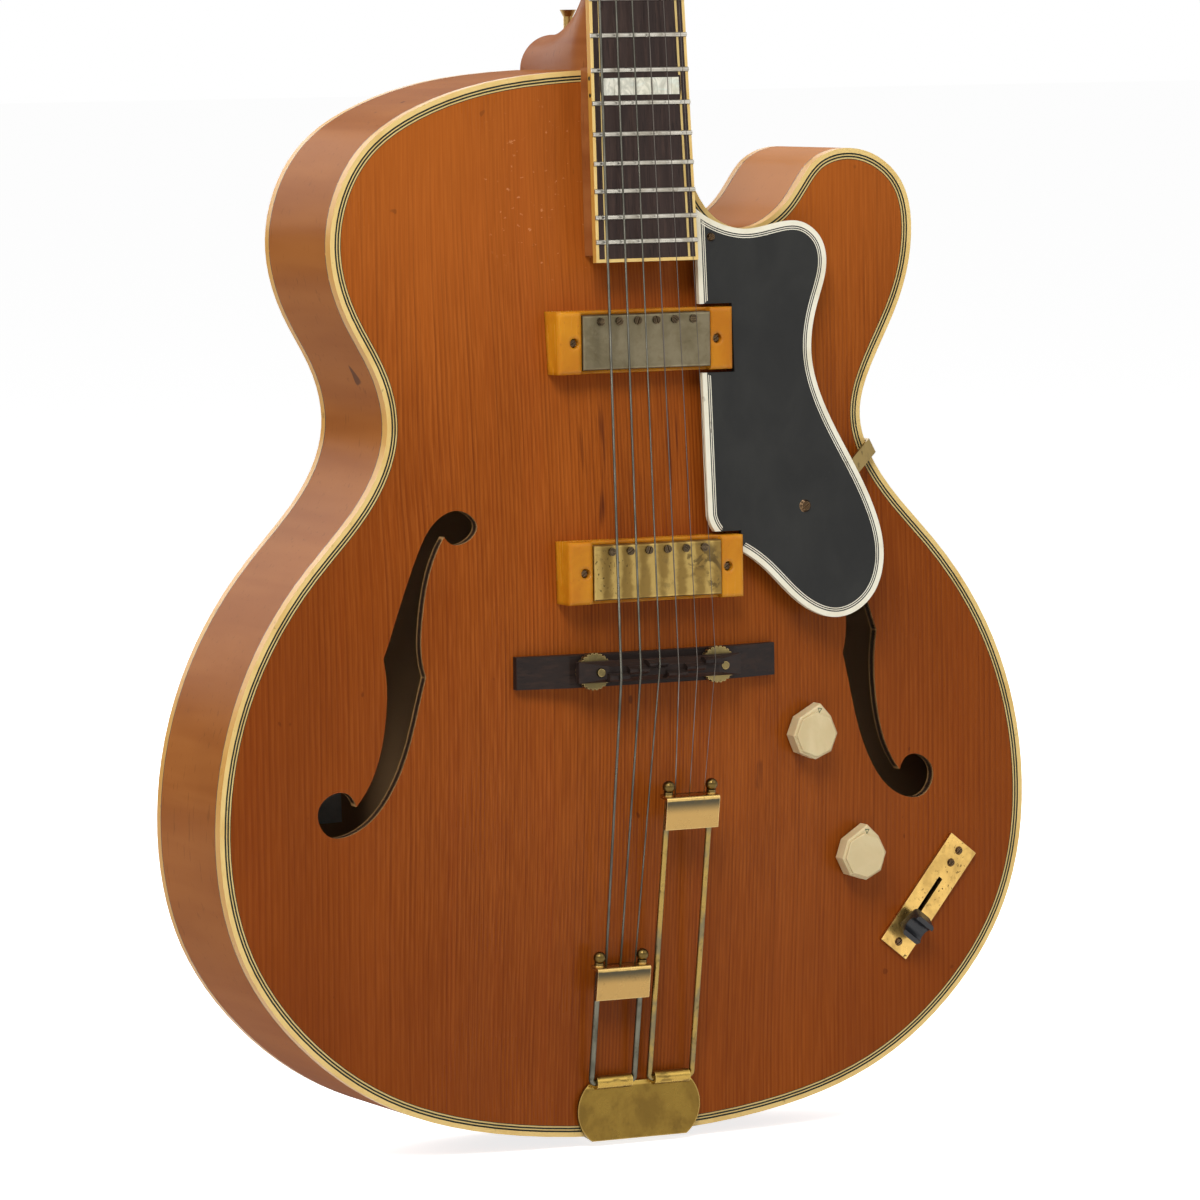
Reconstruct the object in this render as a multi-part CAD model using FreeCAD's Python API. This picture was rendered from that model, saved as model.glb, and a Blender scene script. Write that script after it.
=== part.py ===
import FreeCAD, Part
import math
import os

Vector = FreeCAD.Vector
Placement = FreeCAD.Placement
Rotation = FreeCAD.Rotation

# Archtop guitar, millimetres. X to the treble side, Y towards the back, Z up along the neck.
# The origin is the tail end of the rim, on the centreline at mid depth, where the end pin seats.

# Body
body_length = 533.0
lower_bout_width = 450.0
waist_width = 264.0
upper_bout_width = 322.0
neck_joint_width = 45.0
rim_depth = 78.0
rim_thickness = 2.4
binding_width = 2.4
binding_gap = 0.3
top_thickness = 6.0
back_thickness = 5.0
lining_width = 6.0
lining_height = 13.0
neck_block_width = 70.0
neck_block_length = 62.0
tail_block_width = 76.0
tail_block_length = 22.0
tone_bar_spread = 96.0
tone_bar_width = 7.0
tone_bar_depth = 5.0
tone_bar_shares = (0.2345, 0.8105)

# Arching: an oval dome that fades into a flat margin along the edge
top_arch = 18.0
back_arch = 16.0
arch_half_width_share = 0.79
arch_half_length_share = 0.4615
arch_centre_share = 0.473
flat_margin = 4.0
recurve_width = 34.0
arch_columns = 41
arch_rows = 47
edge_sample_count = 200
inset_sample_count = 120

# Outline, as shares of half the bout named and of the body's length
upper_bout_shares = ((0.42, 0.9925), (0.695, 0.969), (0.888, 0.9306), (1.0, 0.8424), (0.938, 0.771))
waist_shares = ((1.042, 0.7242), (1.0, 0.67))
lower_bout_shares = ((0.629, 0.619), (0.773, 0.548), (0.9156, 0.4597), (1.0, 0.3115), (0.947, 0.1895),
                     (0.813, 0.109), (0.613, 0.047), (0.333, 0.0109))
horn_waist_shares = ((1.0, 0.67), (1.06, 0.7205))
horn_shares = ((0.963, 0.7767), (1.012, 0.8424), (0.981, 0.8884), (0.882, 0.9156), (0.76, 0.9218),
               (0.665, 0.91), (0.587, 0.88), (0.497, 0.8567), (0.404, 0.8495), (0.31, 0.861),
               (0.245, 0.8874), (0.193, 0.9325))

# F-holes: four curves between the two notches and the two eyes, as shares of the f-hole's length
f_hole_length = 158.0
f_hole_spread = 252.0
f_hole_height_share = 0.4484
f_outer_upper_shares = ((-0.128, 0.423), (-0.178, 0.397), (-0.235, 0.451), (-0.182, 0.502), (-0.108, 0.477),
                        (-0.04, 0.371), (0.029, 0.187), (0.076, 0.051))
f_outer_lower_shares = ((0.076, 0.051), (0.066, -0.038), (0.072, -0.154), (0.115, -0.324), (0.167, -0.406))
f_inner_lower_shares = ((0.167, -0.406), (0.225, -0.359), (0.293, -0.411), (0.262, -0.492), (0.164, -0.485),
                        (0.061, -0.384), (-0.014, -0.199), (-0.06, -0.013))
f_inner_upper_shares = ((-0.06, -0.013), (-0.046, 0.063), (-0.051, 0.168), (-0.09, 0.347), (-0.128, 0.423))

# Neck and fingerboard
scale_length = 647.7
fret_count = 20
body_fret = 14
neck_angle = 3.77
board_height = 19.6
board_thickness = 5.0
board_radius = 305.0
nut_width = 43.0
board_end_width = 56.6
board_overhang = 10.0
board_binding_width = 1.6
fret_width = 2.4
fret_crown = 1.0
marker_frets = (3, 5, 7, 9, 12, 15)
marker_width_share = 0.79
marker_length_share = 0.52
marker_depth = 1.8
nut_length = 5.0
nut_rise = 2.2
nut_slot_flare = 0.4
neck_side_step = 0.8
shaft_depth_body = 19.0
shaft_depth_nut = 16.0
tongue_depth = 21.0
tongue_side_step = 3.6
tongue_end_step = 4.0
truss_channel_width = 6.0
truss_channel_depth = 9.0
truss_rod_radius = 2.4
truss_nut_radius = 2.9
truss_nut_length = 14.0
truss_end_step = 12.0

# Heel: half width and rise above the joint at each share of the rim's depth
heel_end_half_width = 18.5
heel_end_rise = 17.5
heel_depth_shares = (-0.08, 0.08, 0.22, 0.40, 0.62, 0.82)
heel_width_shares = (1.05, 1.24, 1.24, 1.18, 1.08, 1.02)
heel_rise_shares = (3.9, 3.35, 2.45, 1.75, 1.27, 1.05)
heel_section_points = 9
heel_cap_thickness = 2.5

# Headstock and tuners
head_angle = 14.0
head_length = 182.0
head_width = 76.0
head_thickness = 14.0
veneer_thickness = 2.0
head_side_shares = ((0.30, 0.05), (0.44, 0.17), (0.47, 0.5), (0.5, 0.92))
post_height_shares = (0.26, 0.48, 0.70)
post_spread = 46.0
post_radius = 3.0
post_waist_radius = 2.5
post_rise = 16.0
post_hole_radius = 0.9
post_hole_step = 6.0
string_post_height = 5.0
bushing_radius = 4.5
bushing_flange_radius = 6.5
bushing_flange_height = 1.5
housing_width = 20.0
housing_length = 25.0
housing_depth = 11.0
housing_offset = 2.0
key_axis_depth = 5.5
key_axis_offset = 6.5
key_shaft_radius = 2.2
key_shaft_inset = 7.0
button_gap = 7.0
button_length = 14.0
button_width = 18.0
button_thickness = 7.0
button_fillet = 2.2

# Strings: gauge of the lowest and shares of it, spacing at nut, saddle and tailpiece
bass_gauge = 1.32
gauge_shares = (1.0, 0.81, 0.61, 0.46, 0.31, 0.23)
nut_spread = 35.5
nut_string_rise = 1.1
saddle_spread = 52.8
bar_string_spacing = 8.1
string_bend_radius = 5.0

# Bridge
bridge_compensation = 6.5
bridge_foot_length = 144.0
bridge_foot_width = 16.2
bridge_foot_end = 4.0
bridge_foot_rise = 6.0
bridge_foot_plateau = 92.0
bridge_post_spread = 69.0
bridge_post_radius = 2.0
bridge_post_seat = 4.0
bridge_post_tip = 4.0
thumbwheel_radius = 9.2
thumbwheel_thickness = 3.0
thumbwheel_lift = 2.0
thumbwheel_knurls = 24
knurl_radius = 0.6
saddle_length = 90.0
saddle_width = 10.5
saddle_crest_width = 4.2
saddle_edge_width = 0.8
saddle_crest_height = 42.0
saddle_rib_height = 3.4
saddle_end_height = 3.6
saddle_bevel = 3.0
saddle_relief = 2.4
saddle_step_shares = (-0.24, 0.05, 0.30, -0.22, 0.04, 0.28)

# Pickups
neck_pickup_gap = 39.5
bridge_pickup_gap = 48.8
neck_pickup_rise = 22.0
bridge_pickup_rise = 31.0
surround_length = 97.0
surround_width = 31.0
surround_block = 12.6
surround_lip_drop = 4.5
surround_fillet = 1.6
cover_length = 71.0
cover_width = 27.2
cover_depth = 17.0
cover_rise = 1.2
cover_wall = 0.8
cover_fillet = 1.2
coil_foot = 1.5
pole_spacing = 10.3
pole_edge = 3.3
pole_radius = 2.0
pole_height = 0.9
pole_length = 9.0
pickup_screw_spread = 79.4

# Pickguard, parallel to the fingerboard; outline as shares of its width and length from its lower left
guard_left = 32.0
guard_drop = 142.2
guard_width = 99.0
guard_length = 207.0
guard_height = 19.0
guard_thickness = 3.0
guard_binding_width = 2.6
guard_pickup_gap = 1.6
guard_shares = ((0.0, 1.0), (0.15, 0.959), (0.283, 0.947), (0.455, 0.959), (0.596, 0.961), (0.711, 0.918),
                (0.734, 0.86), (0.677, 0.768), (0.626, 0.643), (0.691, 0.515), (0.822, 0.391),
                (0.954, 0.256), (0.995, 0.159), (0.919, 0.048), (0.723, 0.0), (0.495, 0.043),
                (0.306, 0.13), (0.192, 0.169), (0.061, 0.208), (0.0, 0.261))
guard_screw_share = (0.554, 0.273)
guard_corner_screw_share = (0.08, 0.93)
guard_block_width = 12.0
guard_block_depth = 7.0
bracket_angle = 28.0
bracket_width = 8.0
bracket_thickness = 1.4
bracket_tail = 9.0
bracket_bend = 31.0
bracket_edge_rise = 2.0
bracket_leg = 21.0
bracket_screw_step = 5.0
bracket_rim_gap = 0.4
bracket_sample_count = 1500

# Controls
volume_knob_shares = (0.4169, 0.3709)
tone_knob_shares = (0.5564, 0.2505)
knob_radius = 12.6
knob_height = 8.0
knob_pointer = 15.8
knob_pointer_turn = -11.0
tone_knob_turn = 4.0
knob_sides = 8
knob_bevel = 0.8
knob_lift = 2.6
knob_shaft_radius = 3.0
knob_shaft_engage = 6.0
pot_radius = 12.0
pot_depth = 10.0
pot_top_step = 2.0
pot_bushing_radius = 4.7
pot_nut_radius = 6.4
pot_nut_height = 1.2
pot_nut_lift = 1.0

# Selector switch
switch_shares = (0.7476, 0.2039)
switch_turn = 38.8
switch_plate_length = 66.5
switch_plate_width = 18.2
switch_plate_thickness = 2.0
switch_screw_spread = 57.0
switch_rivet_offset = 21.0
switch_slot_width = 2.6
lever_swing = 27.0
lever_pivot_depth = 20.0
lever_pivot_step = -3.0
lever_length = 31.5
lever_tail = 5.0
lever_width = 5.0
lever_thickness = 1.6
lever_pin_radius = 1.5
switch_frame_width = 11.0
switch_frame_wall = 1.2
switch_frame_length = 30.0
switch_frame_depth = 24.0
tip_width = 11.5
tip_length = 13.0
tip_height = 6.0
tip_seat = 2.8
tip_hollow_radius = 4.0
tip_fillet = 2.0

# Output jack on the treble side of the rim
jack_height_share = 0.1726
jack_bore_radius = 3.3
jack_sleeve_radius = 4.75
jack_outside = 4.5
jack_inside = 9.0
jack_nut_radius = 7.3
jack_nut_height = 2.6
jack_body_radius = 9.0
jack_body_length = 14.0
jack_seat_gap = 0.5

# Tailpiece
tail_plate_width = 68.6
tail_plate_top_width = 56.0
tail_plate_fold_width = 53.0
tail_plate_height = 27.5
tail_plate_thickness = 1.5
tail_plate_lift = 1.6
tail_flange_length = 56.0
tail_flange_end_width = 30.0
hinge_height = 28.5
hinge_rise = 6.0
roll_radius = 3.4
roll_length = 19.6
rod_radius = 1.5
rod_spread = 23.9
rod_inner = 4.25
rod_bend_radius = 2.2
rod_tip = 5.0
bass_bar_reach_share = 0.2923
treble_bar_reach_share = 0.7044
bar_width = 29.5
bar_height = 16.5
bar_wall = 1.6
bar_front_step = 3.4
bar_top_depth = 8.0
bar_fillet = 1.5
bar_nut_radius = 3.1
bar_nut_collar = 2.4
bar_nut_base = 2.0
bar_ball_share = 0.8

# Strap buttons
end_pin_radius = 8.0
end_pin_height = 3.0
end_pin_stem_radius = 4.0
end_pin_stem_length = 18.0
heel_button_depth_share = 0.77
heel_button_stem_radius = 2.4
heel_button_radius = 4.2
heel_button_height = 12.5
heel_button_head = 3.4
heel_button_seat = 9.0
heel_button_waist_share = 0.6

# Screws
screw_head_radius = 2.2
screw_head_height = 1.2
screw_head_top_share = 0.7
screw_shank_radius = 1.1
screw_bite = 5.0
slot_screw_head_radius = 3.2
screw_slot_width = 0.8
screw_slot_depth = 0.6
screw_slot_turn = 35.0
pickup_screw_recess = 3.0
tuner_screw_step = 7.5

# Fits
seat_gap = 0.12
run_gap = 0.3
fit_gap = 0.1
touch = 0.001
overrun = 40.0


# Frame helpers

def front(height):
    """Y of a point that stands off the front edge plane by a height."""
    return -rim_depth / 2 - height


def at_front(x, z, height):
    return Vector(x, front(height), z)


def place(shape, frame):
    placed = shape.copy()
    placed.Placement = frame.multiply(placed.Placement)
    return placed


def turn_about(axis, degrees, centre=Vector(0, 0, 0)):
    return Placement(centre, Rotation(axis, degrees))


def block(x0, x1, y0, y1, z0, z1):
    return Part.makeBox(x1 - x0, y1 - y0, z1 - z0, Vector(x0, y0, z0))


def rod(start, end, radius):
    return Part.makeCylinder(radius, (end - start).Length, start, end - start)


def curve_through(points):
    curve = Part.BSplineCurve()
    curve.interpolate(points)
    return curve


def line(start, end):
    return Part.LineSegment(start, end).toShape()


def wire_of(edges):
    return Part.Wire(Part.__sortEdges__(edges))


def slab(face, near, far):
    """Prism of an XZ face from one depth to another."""
    moved = face.copy()
    moved.translate(Vector(0, near, 0))
    return moved.extrude(Vector(0, far - near, 0))


def polygon_face(points):
    return Part.Face(Part.makePolygon(points + points[:1]))


def regular_polygon(sides, radius):
    step = 2 * math.pi / sides
    return [Vector(radius * math.cos(step * i), radius * math.sin(step * i), 0) for i in range(sides)]


def hexagon(radius, height):
    return polygon_face(regular_polygon(6, radius)).extrude(Vector(0, 0, height))


def tube(outer, inner, length):
    bore = Part.makeCylinder(inner, length + 2 * overrun, Vector(0, 0, -overrun))
    return Part.makeCylinder(outer, length).cut(bore)


def cord_wire(points, radius):
    """Straight runs joined by tangent arcs."""
    edges = []
    start = points[0]
    for before, corner, after in zip(points, points[1:], points[2:]):
        into = (before - corner).normalize()
        out = (after - corner).normalize()
        half = into.getAngle(out) / 2
        reach = radius / math.tan(half)
        middle = (into + out).normalize()
        inner = corner + middle * (radius / math.sin(half) - radius)
        edges.append(line(start, corner + into * reach))
        edges.append(Part.Arc(corner + into * reach, inner, corner + out * reach).toShape())
        start = corner + out * reach
    edges.append(line(start, points[-1]))
    return Part.Wire(edges)


def cord(points, radius, bend):
    path = cord_wire(points, bend)
    ring = Part.Wire(Part.Circle(points[0], points[1] - points[0], radius).toShape())
    solid = path.makePipeShell([ring], True, True)
    expected = math.pi * radius ** 2 * path.Length
    print("cord radius %.2f length %.1f bend %.1f volume ratio %.4f"
          % (radius, path.Length, bend, solid.Volume / expected))
    return solid


# Body outline and arching

def bout_points(shares, width, side):
    return [Vector(side * width / 2 * across, 0, body_length * up) for across, up in shares]


def outline_points():
    bass = bout_points(upper_bout_shares, upper_bout_width, -1)
    bass += bout_points(waist_shares, waist_width, -1)
    bass += bout_points(lower_bout_shares, lower_bout_width, -1)
    treble = bout_points(lower_bout_shares[::-1], lower_bout_width, 1)
    treble += bout_points(horn_waist_shares, waist_width, 1)
    treble += bout_points(horn_shares, upper_bout_width, 1)
    joint_bass = Vector(-neck_joint_width / 2, 0, body_length)
    joint_treble = Vector(neck_joint_width / 2, 0, body_length)
    return [joint_bass] + bass + [Vector(0, 0, 0)] + treble + [joint_treble]


outline = curve_through(outline_points())


def curve_samples(curve, count):
    first = curve.FirstParameter
    span = curve.LastParameter - first
    return [first + span * i / count for i in range(count + 1)]


def inset_curve(curve, inset):
    """A curve moved to its left, square to itself."""
    points = []
    for u in curve_samples(curve, inset_sample_count):
        along = curve.tangent(u)[0]
        points.append(curve.value(u) + Vector(-along.z, 0, along.x) * inset)
    return curve_through(points)


def inset_outline(inset):
    return inset_curve(outline, inset)


def body_face(curve):
    """Face inside an outline curve, closed straight across the neck joint."""
    end = curve.value(curve.LastParameter)
    start = curve.value(curve.FirstParameter)
    corners = [end, Vector(end.x, 0, body_length), Vector(start.x, 0, body_length), start]
    sides = [line(a, b) for a, b in zip(corners, corners[1:]) if (b - a).Length > touch]
    return Part.Face(wire_of([curve.toShape()] + sides))


def band_face(outer, inner):
    """Face of the strip between two outline curves, open at the neck joint."""
    ends = [(c.value(c.FirstParameter), c.value(c.LastParameter)) for c in (outer, inner)]
    caps = [line(ends[0][k], ends[1][k]) for k in (0, 1)]
    return Part.Face(wire_of([outer.toShape(), inner.toShape()] + caps))


edge_samples = [outline.value(u) for u in curve_samples(outline, edge_sample_count)]


def inside_body(x, z):
    hit = False
    for a, b in zip(edge_samples, edge_samples[1:] + edge_samples[:1]):
        if (a.z > z) != (b.z > z) and x < a.x + (z - a.z) / (b.z - a.z) * (b.x - a.x):
            hit = not hit
    return hit


def arch_height(x, z, rise):
    across = x / (arch_half_width_share * lower_bout_width / 2)
    along = (z - arch_centre_share * body_length) / (arch_half_length_share * body_length)
    dome = 1 - across ** 2 - along ** 2
    if dome <= 0 or not inside_body(x, z):
        return 0.0
    margin = math.sqrt(min((x - p.x) ** 2 + (z - p.z) ** 2 for p in edge_samples))
    fade = min(1.0, max(0.0, (margin - flat_margin) / recurve_width))
    return rise * dome ** 1.5 * fade * fade * (3 - 2 * fade)


def arch_skin(rise, facing):
    half = lower_bout_width / 2 + overrun
    reach = body_length + 2 * overrun
    grid = []
    for i in range(arch_columns):
        x = -half + 2 * half * i / (arch_columns - 1)
        row = []
        for j in range(arch_rows):
            z = -overrun + reach * j / (arch_rows - 1)
            row.append(Vector(x, facing * (rim_depth / 2 + arch_height(x, z, rise)), z))
        grid.append(row)
    surface = Part.BSplineSurface()
    surface.interpolate(grid)
    return surface.toShape()


top_skin = arch_skin(top_arch, -1)
back_skin = arch_skin(back_arch, 1)


def shifted(shape, dy):
    moved = shape.copy()
    moved.translate(Vector(0, dy, 0))
    return moved


def over_top(gap):
    """What lies inwards of the top's outer face, raised by a gap, to trim the pieces that seat on it."""
    half = lower_bout_width
    room = block(-half, half, front(rim_depth), 0, -overrun, body_length)
    return shifted(top_skin, -gap).extrude(Vector(0, rim_depth / 2, 0)).common(room)


seat_block = over_top(seat_gap)
clear_block = over_top(run_gap)


# Places worked out from the sizes above

def fret_distance(number):
    return scale_length * (1 - 2 ** (-number / 12))


nut_z = fret_distance(body_fret)
board_end_z = nut_z - fret_distance(fret_count) - board_overhang
neck_frame = Placement(at_front(0, body_length, board_height), Rotation(Vector(1, 0, 0), -neck_angle))
head_frame = neck_frame.multiply(
    Placement(Vector(0, board_thickness, nut_z + nut_length), Rotation(Vector(1, 0, 0), -head_angle)))
bridge_z = neck_frame.multVec(Vector(0, 0, nut_z)).z - scale_length - bridge_compensation
tail_lean = math.degrees(math.atan2(saddle_crest_height - hinge_rise, bridge_z - hinge_height))
bass_bar_reach = (bridge_z - hinge_height) * bass_bar_reach_share
treble_bar_reach = (bridge_z - hinge_height) * treble_bar_reach_share
neck_pickup_height = neck_frame.multVec(Vector(0, 0, board_end_z)).z - neck_pickup_gap
bridge_pickup_height = bridge_z + bridge_pickup_gap
guard_low = neck_pickup_height - guard_drop
f_hole_height = body_length * f_hole_height_share
jack_height = body_length * jack_height_share
volume_knob_x = lower_bout_width / 2 * volume_knob_shares[0]
volume_knob_z = body_length * volume_knob_shares[1]
tone_knob_x = lower_bout_width / 2 * tone_knob_shares[0]
tone_knob_z = body_length * tone_knob_shares[1]
switch_x = lower_bout_width / 2 * switch_shares[0]
switch_z = body_length * switch_shares[1]
switch_frame_place = Placement(at_front(switch_x, switch_z, 0), Rotation(Vector(0, 1, 0), switch_turn))
guard_frame = Placement(at_front(0, neck_pickup_height, guard_height), Rotation(Vector(1, 0, 0), -neck_angle))


def guard_point(share):
    return Vector(guard_left + guard_width * share[0], 0,
                  guard_low + guard_length * share[1] - neck_pickup_height)


def board_width(z):
    return nut_width + (board_end_width - nut_width) * (nut_z - z) / (nut_z - board_end_z)


def crown_drop(x):
    return board_radius - math.sqrt(board_radius ** 2 - x ** 2)


def string_share(number):
    return number / 5 - 0.5


def trapeze_frame():
    return Placement(at_front(0, hinge_height, hinge_rise), Rotation(Vector(1, 0, 0), tail_lean))


def outline_at(height):
    """Point and outward direction of the treble rim at a height."""
    u = min(curve_samples(outline, edge_sample_count),
            key=lambda v: abs(outline.value(v).z - height) + (overrun if outline.value(v).x < 0 else 0))
    along = outline.tangent(u)[0]
    return outline.value(u), Vector(along.z, 0, -along.x)


jack_point, jack_out = outline_at(jack_height)
jack_frame = Placement(jack_point, Rotation(Vector(0, 0, 1), jack_out))


def bracket_run():
    """The bracket's screw, its direction, and how far it runs to stand just outside the treble waist."""
    spot = guard_frame.multVec(guard_point(guard_screw_share))
    turn = math.radians(bracket_angle)
    along = Vector(math.cos(turn), 0, math.sin(turn))
    across = Vector(-along.z, 0, along.x)
    offsets = [outline.value(u) - spot for u in curve_samples(outline, bracket_sample_count)]
    runs = [p.dot(along) for p in offsets if abs(p.dot(across)) < bracket_width / 2 and p.dot(along) > 0]
    return spot, along, max(runs) + bracket_rim_gap + bracket_thickness


# Screws: a place under the head, the way the head faces, the head's radius and the shank's length

def guard_screw_spots():
    spots = []
    facing = guard_frame.Rotation.multVec(Vector(0, -1, 0))
    for share, radius in ((guard_screw_share, slot_screw_head_radius),
                          (guard_corner_screw_share, screw_head_radius)):
        spots.append((guard_frame.multVec(guard_point(share)), facing, radius, guard_thickness + screw_bite))
    start, along, reach = bracket_run()
    side = Vector(start.x, front(bracket_screw_step - bracket_leg), start.z) + along * reach
    return spots + [(side, along, screw_head_radius,
                     bracket_thickness + bracket_rim_gap + rim_thickness + screw_bite)]


def pickup_screw_spots():
    spots = []
    x = pickup_screw_spread / 2
    for z, rise in ((neck_pickup_height, neck_pickup_rise), (bridge_pickup_height, bridge_pickup_rise)):
        head = rise - pickup_screw_recess
        length = head - arch_height(x, z, top_arch) + screw_bite
        for side in (-1, 1):
            spots.append((at_front(side * x, z, head), Vector(0, -1, 0), screw_head_radius, length))
    return spots


def switch_screw_spots():
    spots = []
    for along in (-switch_screw_spread / 2, switch_screw_spread / 2, switch_rivet_offset):
        spot = switch_frame_place.multVec(Vector(0, -switch_plate_thickness - fit_gap, along))
        spots.append((spot, Vector(0, -1, 0), screw_head_radius, screw_bite))
    return spots


def tail_screw_spots():
    low = -fit_gap - tail_plate_thickness
    length = tail_plate_thickness + rim_thickness + screw_bite
    spots = []
    for side in (-1, 1):
        near = Vector(side * tail_flange_end_width / 2, -2 * end_pin_radius, low)
        far = Vector(side * tail_flange_end_width / 3, end_pin_radius, low)
        spots += [(spot, Vector(0, 0, -1), screw_head_radius, length) for spot in (near, far)]
    return spots


def tuner_screw_spots():
    spots = []
    facing = head_frame.Rotation.multVec(Vector(0, 1, 0))
    for side in (-1, 1):
        for share in post_height_shares:
            spot = Vector(side * post_spread / 2, head_thickness + housing_depth,
                          head_length * share - tuner_screw_step)
            spots.append((head_frame.multVec(spot), facing, screw_head_radius, housing_depth + screw_bite))
    return spots


screw_spots = (guard_screw_spots() + pickup_screw_spots() + switch_screw_spots() + tail_screw_spots()
               + tuner_screw_spots())


def screw_shank(spot, facing, length, gap):
    return rod(spot, spot - facing * (length + gap), screw_shank_radius + gap)


screw_holes = Part.makeCompound([screw_shank(spot, facing, length, fit_gap)
                                 for spot, facing, radius, length in screw_spots])


def driver_slot(spot, facing, radius, turn):
    """The slot across a head whose top centre is at spot."""
    slot = block(-radius, radius, -screw_slot_width / 2, screw_slot_width / 2, -screw_slot_depth,
                 screw_slot_depth)
    frame = Placement(spot, Rotation(Vector(0, 0, 1), facing)).multiply(turn_about(Vector(0, 0, 1), turn))
    return place(slot, frame)


def screw(spot, facing, radius, length):
    head = Part.makeCone(radius, radius * screw_head_top_share, screw_head_height, spot, facing)
    slot = driver_slot(spot + facing * screw_head_height, facing, radius, screw_slot_turn)
    return head.fuse(screw_shank(spot, facing, length, 0)).cut(slot)


# Body pieces

def pickup_windows():
    half = cover_length / 2 + fit_gap
    wide = cover_width / 2 + fit_gap
    return [block(-half, half, front(overrun), front(-overrun), z - wide, z + wide)
            for z in (neck_pickup_height, bridge_pickup_height)]


def control_holes():
    holes = [rod(at_front(x, z, overrun), at_front(x, z, -overrun), pot_bushing_radius + fit_gap)
             for x, z in ((volume_knob_x, volume_knob_z), (tone_knob_x, tone_knob_z))]
    half = switch_frame_width / 2 - switch_frame_wall
    low = lever_pivot_step - lever_slot_reach()
    high = lever_pivot_step + lever_slot_reach()
    slot = block(-half, half, -overrun, overrun, low, high)
    return holes + [place(slot, switch_frame_place)]


def f_hole(side):
    edges = []
    for shares in (f_outer_upper_shares, f_outer_lower_shares, f_inner_lower_shares, f_inner_upper_shares):
        points = [Vector(side * (f_hole_spread / 2 + f_hole_length * across), 0,
                         f_hole_height + f_hole_length * up)
                  for across, up in shares]
        edges.append(curve_through(points).toShape())
    return slab(Part.Face(wire_of(edges)), front(overrun), front(-overrun))


def top_plate():
    blank = slab(body_face(inset_outline(binding_width + binding_gap)), front(overrun), front(-overrun))
    plate = top_skin.extrude(Vector(0, top_thickness, 0)).common(blank)
    for opening in pickup_windows() + control_holes() + [f_hole(-1), f_hole(1), screw_holes]:
        plate = plate.cut(opening)
    return plate


def back_plate():
    blank = slab(body_face(inset_outline(binding_width + binding_gap)), rim_depth / 2 - overrun,
                 rim_depth / 2 + overrun)
    return back_skin.extrude(Vector(0, -back_thickness, 0)).common(blank)


def body_binding():
    band = band_face(outline, inset_outline(binding_width))
    return [slab(band, front(0), front(-top_thickness)),
            slab(band, rim_depth / 2 - back_thickness, rim_depth / 2)]


def tail_bore():
    return rod(Vector(0, 0, -overrun), Vector(0, 0, overrun), end_pin_stem_radius + fit_gap)


def rim():
    walls = slab(band_face(outline, inset_outline(rim_thickness)), front(-top_thickness),
                 rim_depth / 2 - back_thickness)
    jack_hole = place(Part.makeCylinder(jack_sleeve_radius + fit_gap, 2 * overrun,
                                        Vector(0, 0, -overrun)), jack_frame)
    return walls.cut(tail_bore()).cut(jack_hole).cut(screw_holes)


def end_blocks():
    room = slab(body_face(inset_outline(rim_thickness)), front(-top_thickness),
                rim_depth / 2 - back_thickness)
    neck_box = block(-neck_block_width / 2, neck_block_width / 2, -overrun, overrun,
                     body_length - neck_block_length, body_length)
    tail_box = block(-tail_block_width / 2, tail_block_width / 2, -overrun, overrun, -overrun,
                     tail_block_length)
    return [room.common(neck_box), room.common(tail_box).cut(tail_bore()).cut(screw_holes)]


def linings(blocks):
    band = band_face(inset_outline(rim_thickness), inset_outline(rim_thickness + lining_width))
    high = slab(band, front(-top_thickness), front(-top_thickness - lining_height))
    low = slab(band, rim_depth / 2 - back_thickness - lining_height, rim_depth / 2 - back_thickness)
    pieces = []
    for lining in (high, low):
        for piece in blocks + [screw_holes]:
            lining = lining.cut(piece)
        pieces += lining.Solids
    return pieces


def tone_bars():
    above = shifted(top_skin, top_thickness).extrude(Vector(0, -overrun, 0))
    bars = []
    for side in (-1, 1):
        middle = side * tone_bar_spread / 2
        bar = block(middle - tone_bar_width / 2, middle + tone_bar_width / 2, front(top_arch),
                    front(-tone_bar_depth - top_thickness), body_length * tone_bar_shares[0],
                    body_length * tone_bar_shares[1])
        bars.append(bar.cut(above))
    return bars


# Neck pieces, drawn in the neck's own frame: fingerboard surface at y = 0, body joint at z = 0

def board_trapezoid(low, high, inset):
    points = []
    for z, side in ((low, -1), (low, 1), (high, 1), (high, -1)):
        points.append(Vector(side * (board_width(z) / 2 - inset), 0, z))
    return polygon_face(points)


def crown(radius):
    return Part.makeCylinder(radius, nut_z - board_end_z + 2 * overrun,
                             Vector(0, board_radius, board_end_z - overrun), Vector(0, 0, 1))


def marker_blocks():
    blocks = []
    for number in marker_frets:
        high = nut_z - fret_distance(number - 1)
        low = nut_z - fret_distance(number)
        middle = (high + low) / 2
        half = board_width(middle) * marker_width_share / 2
        reach = (high - low) * marker_length_share / 2
        blocks.append(block(-half, half, -marker_depth, marker_depth, middle - reach, middle + reach))
    return blocks


def fingerboard():
    blank = slab(board_trapezoid(board_end_z, nut_z, 0), 0, board_thickness).common(crown(board_radius))
    core = slab(board_trapezoid(board_end_z + board_binding_width, nut_z + overrun, board_binding_width),
                -overrun, board_thickness + overrun)
    board = blank.common(core)
    binding = blank.cut(core)
    markers = []
    for marker in marker_blocks():
        markers.append(marker.common(crown(board_radius)))
        board = board.cut(marker)
    return board, binding, markers


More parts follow.
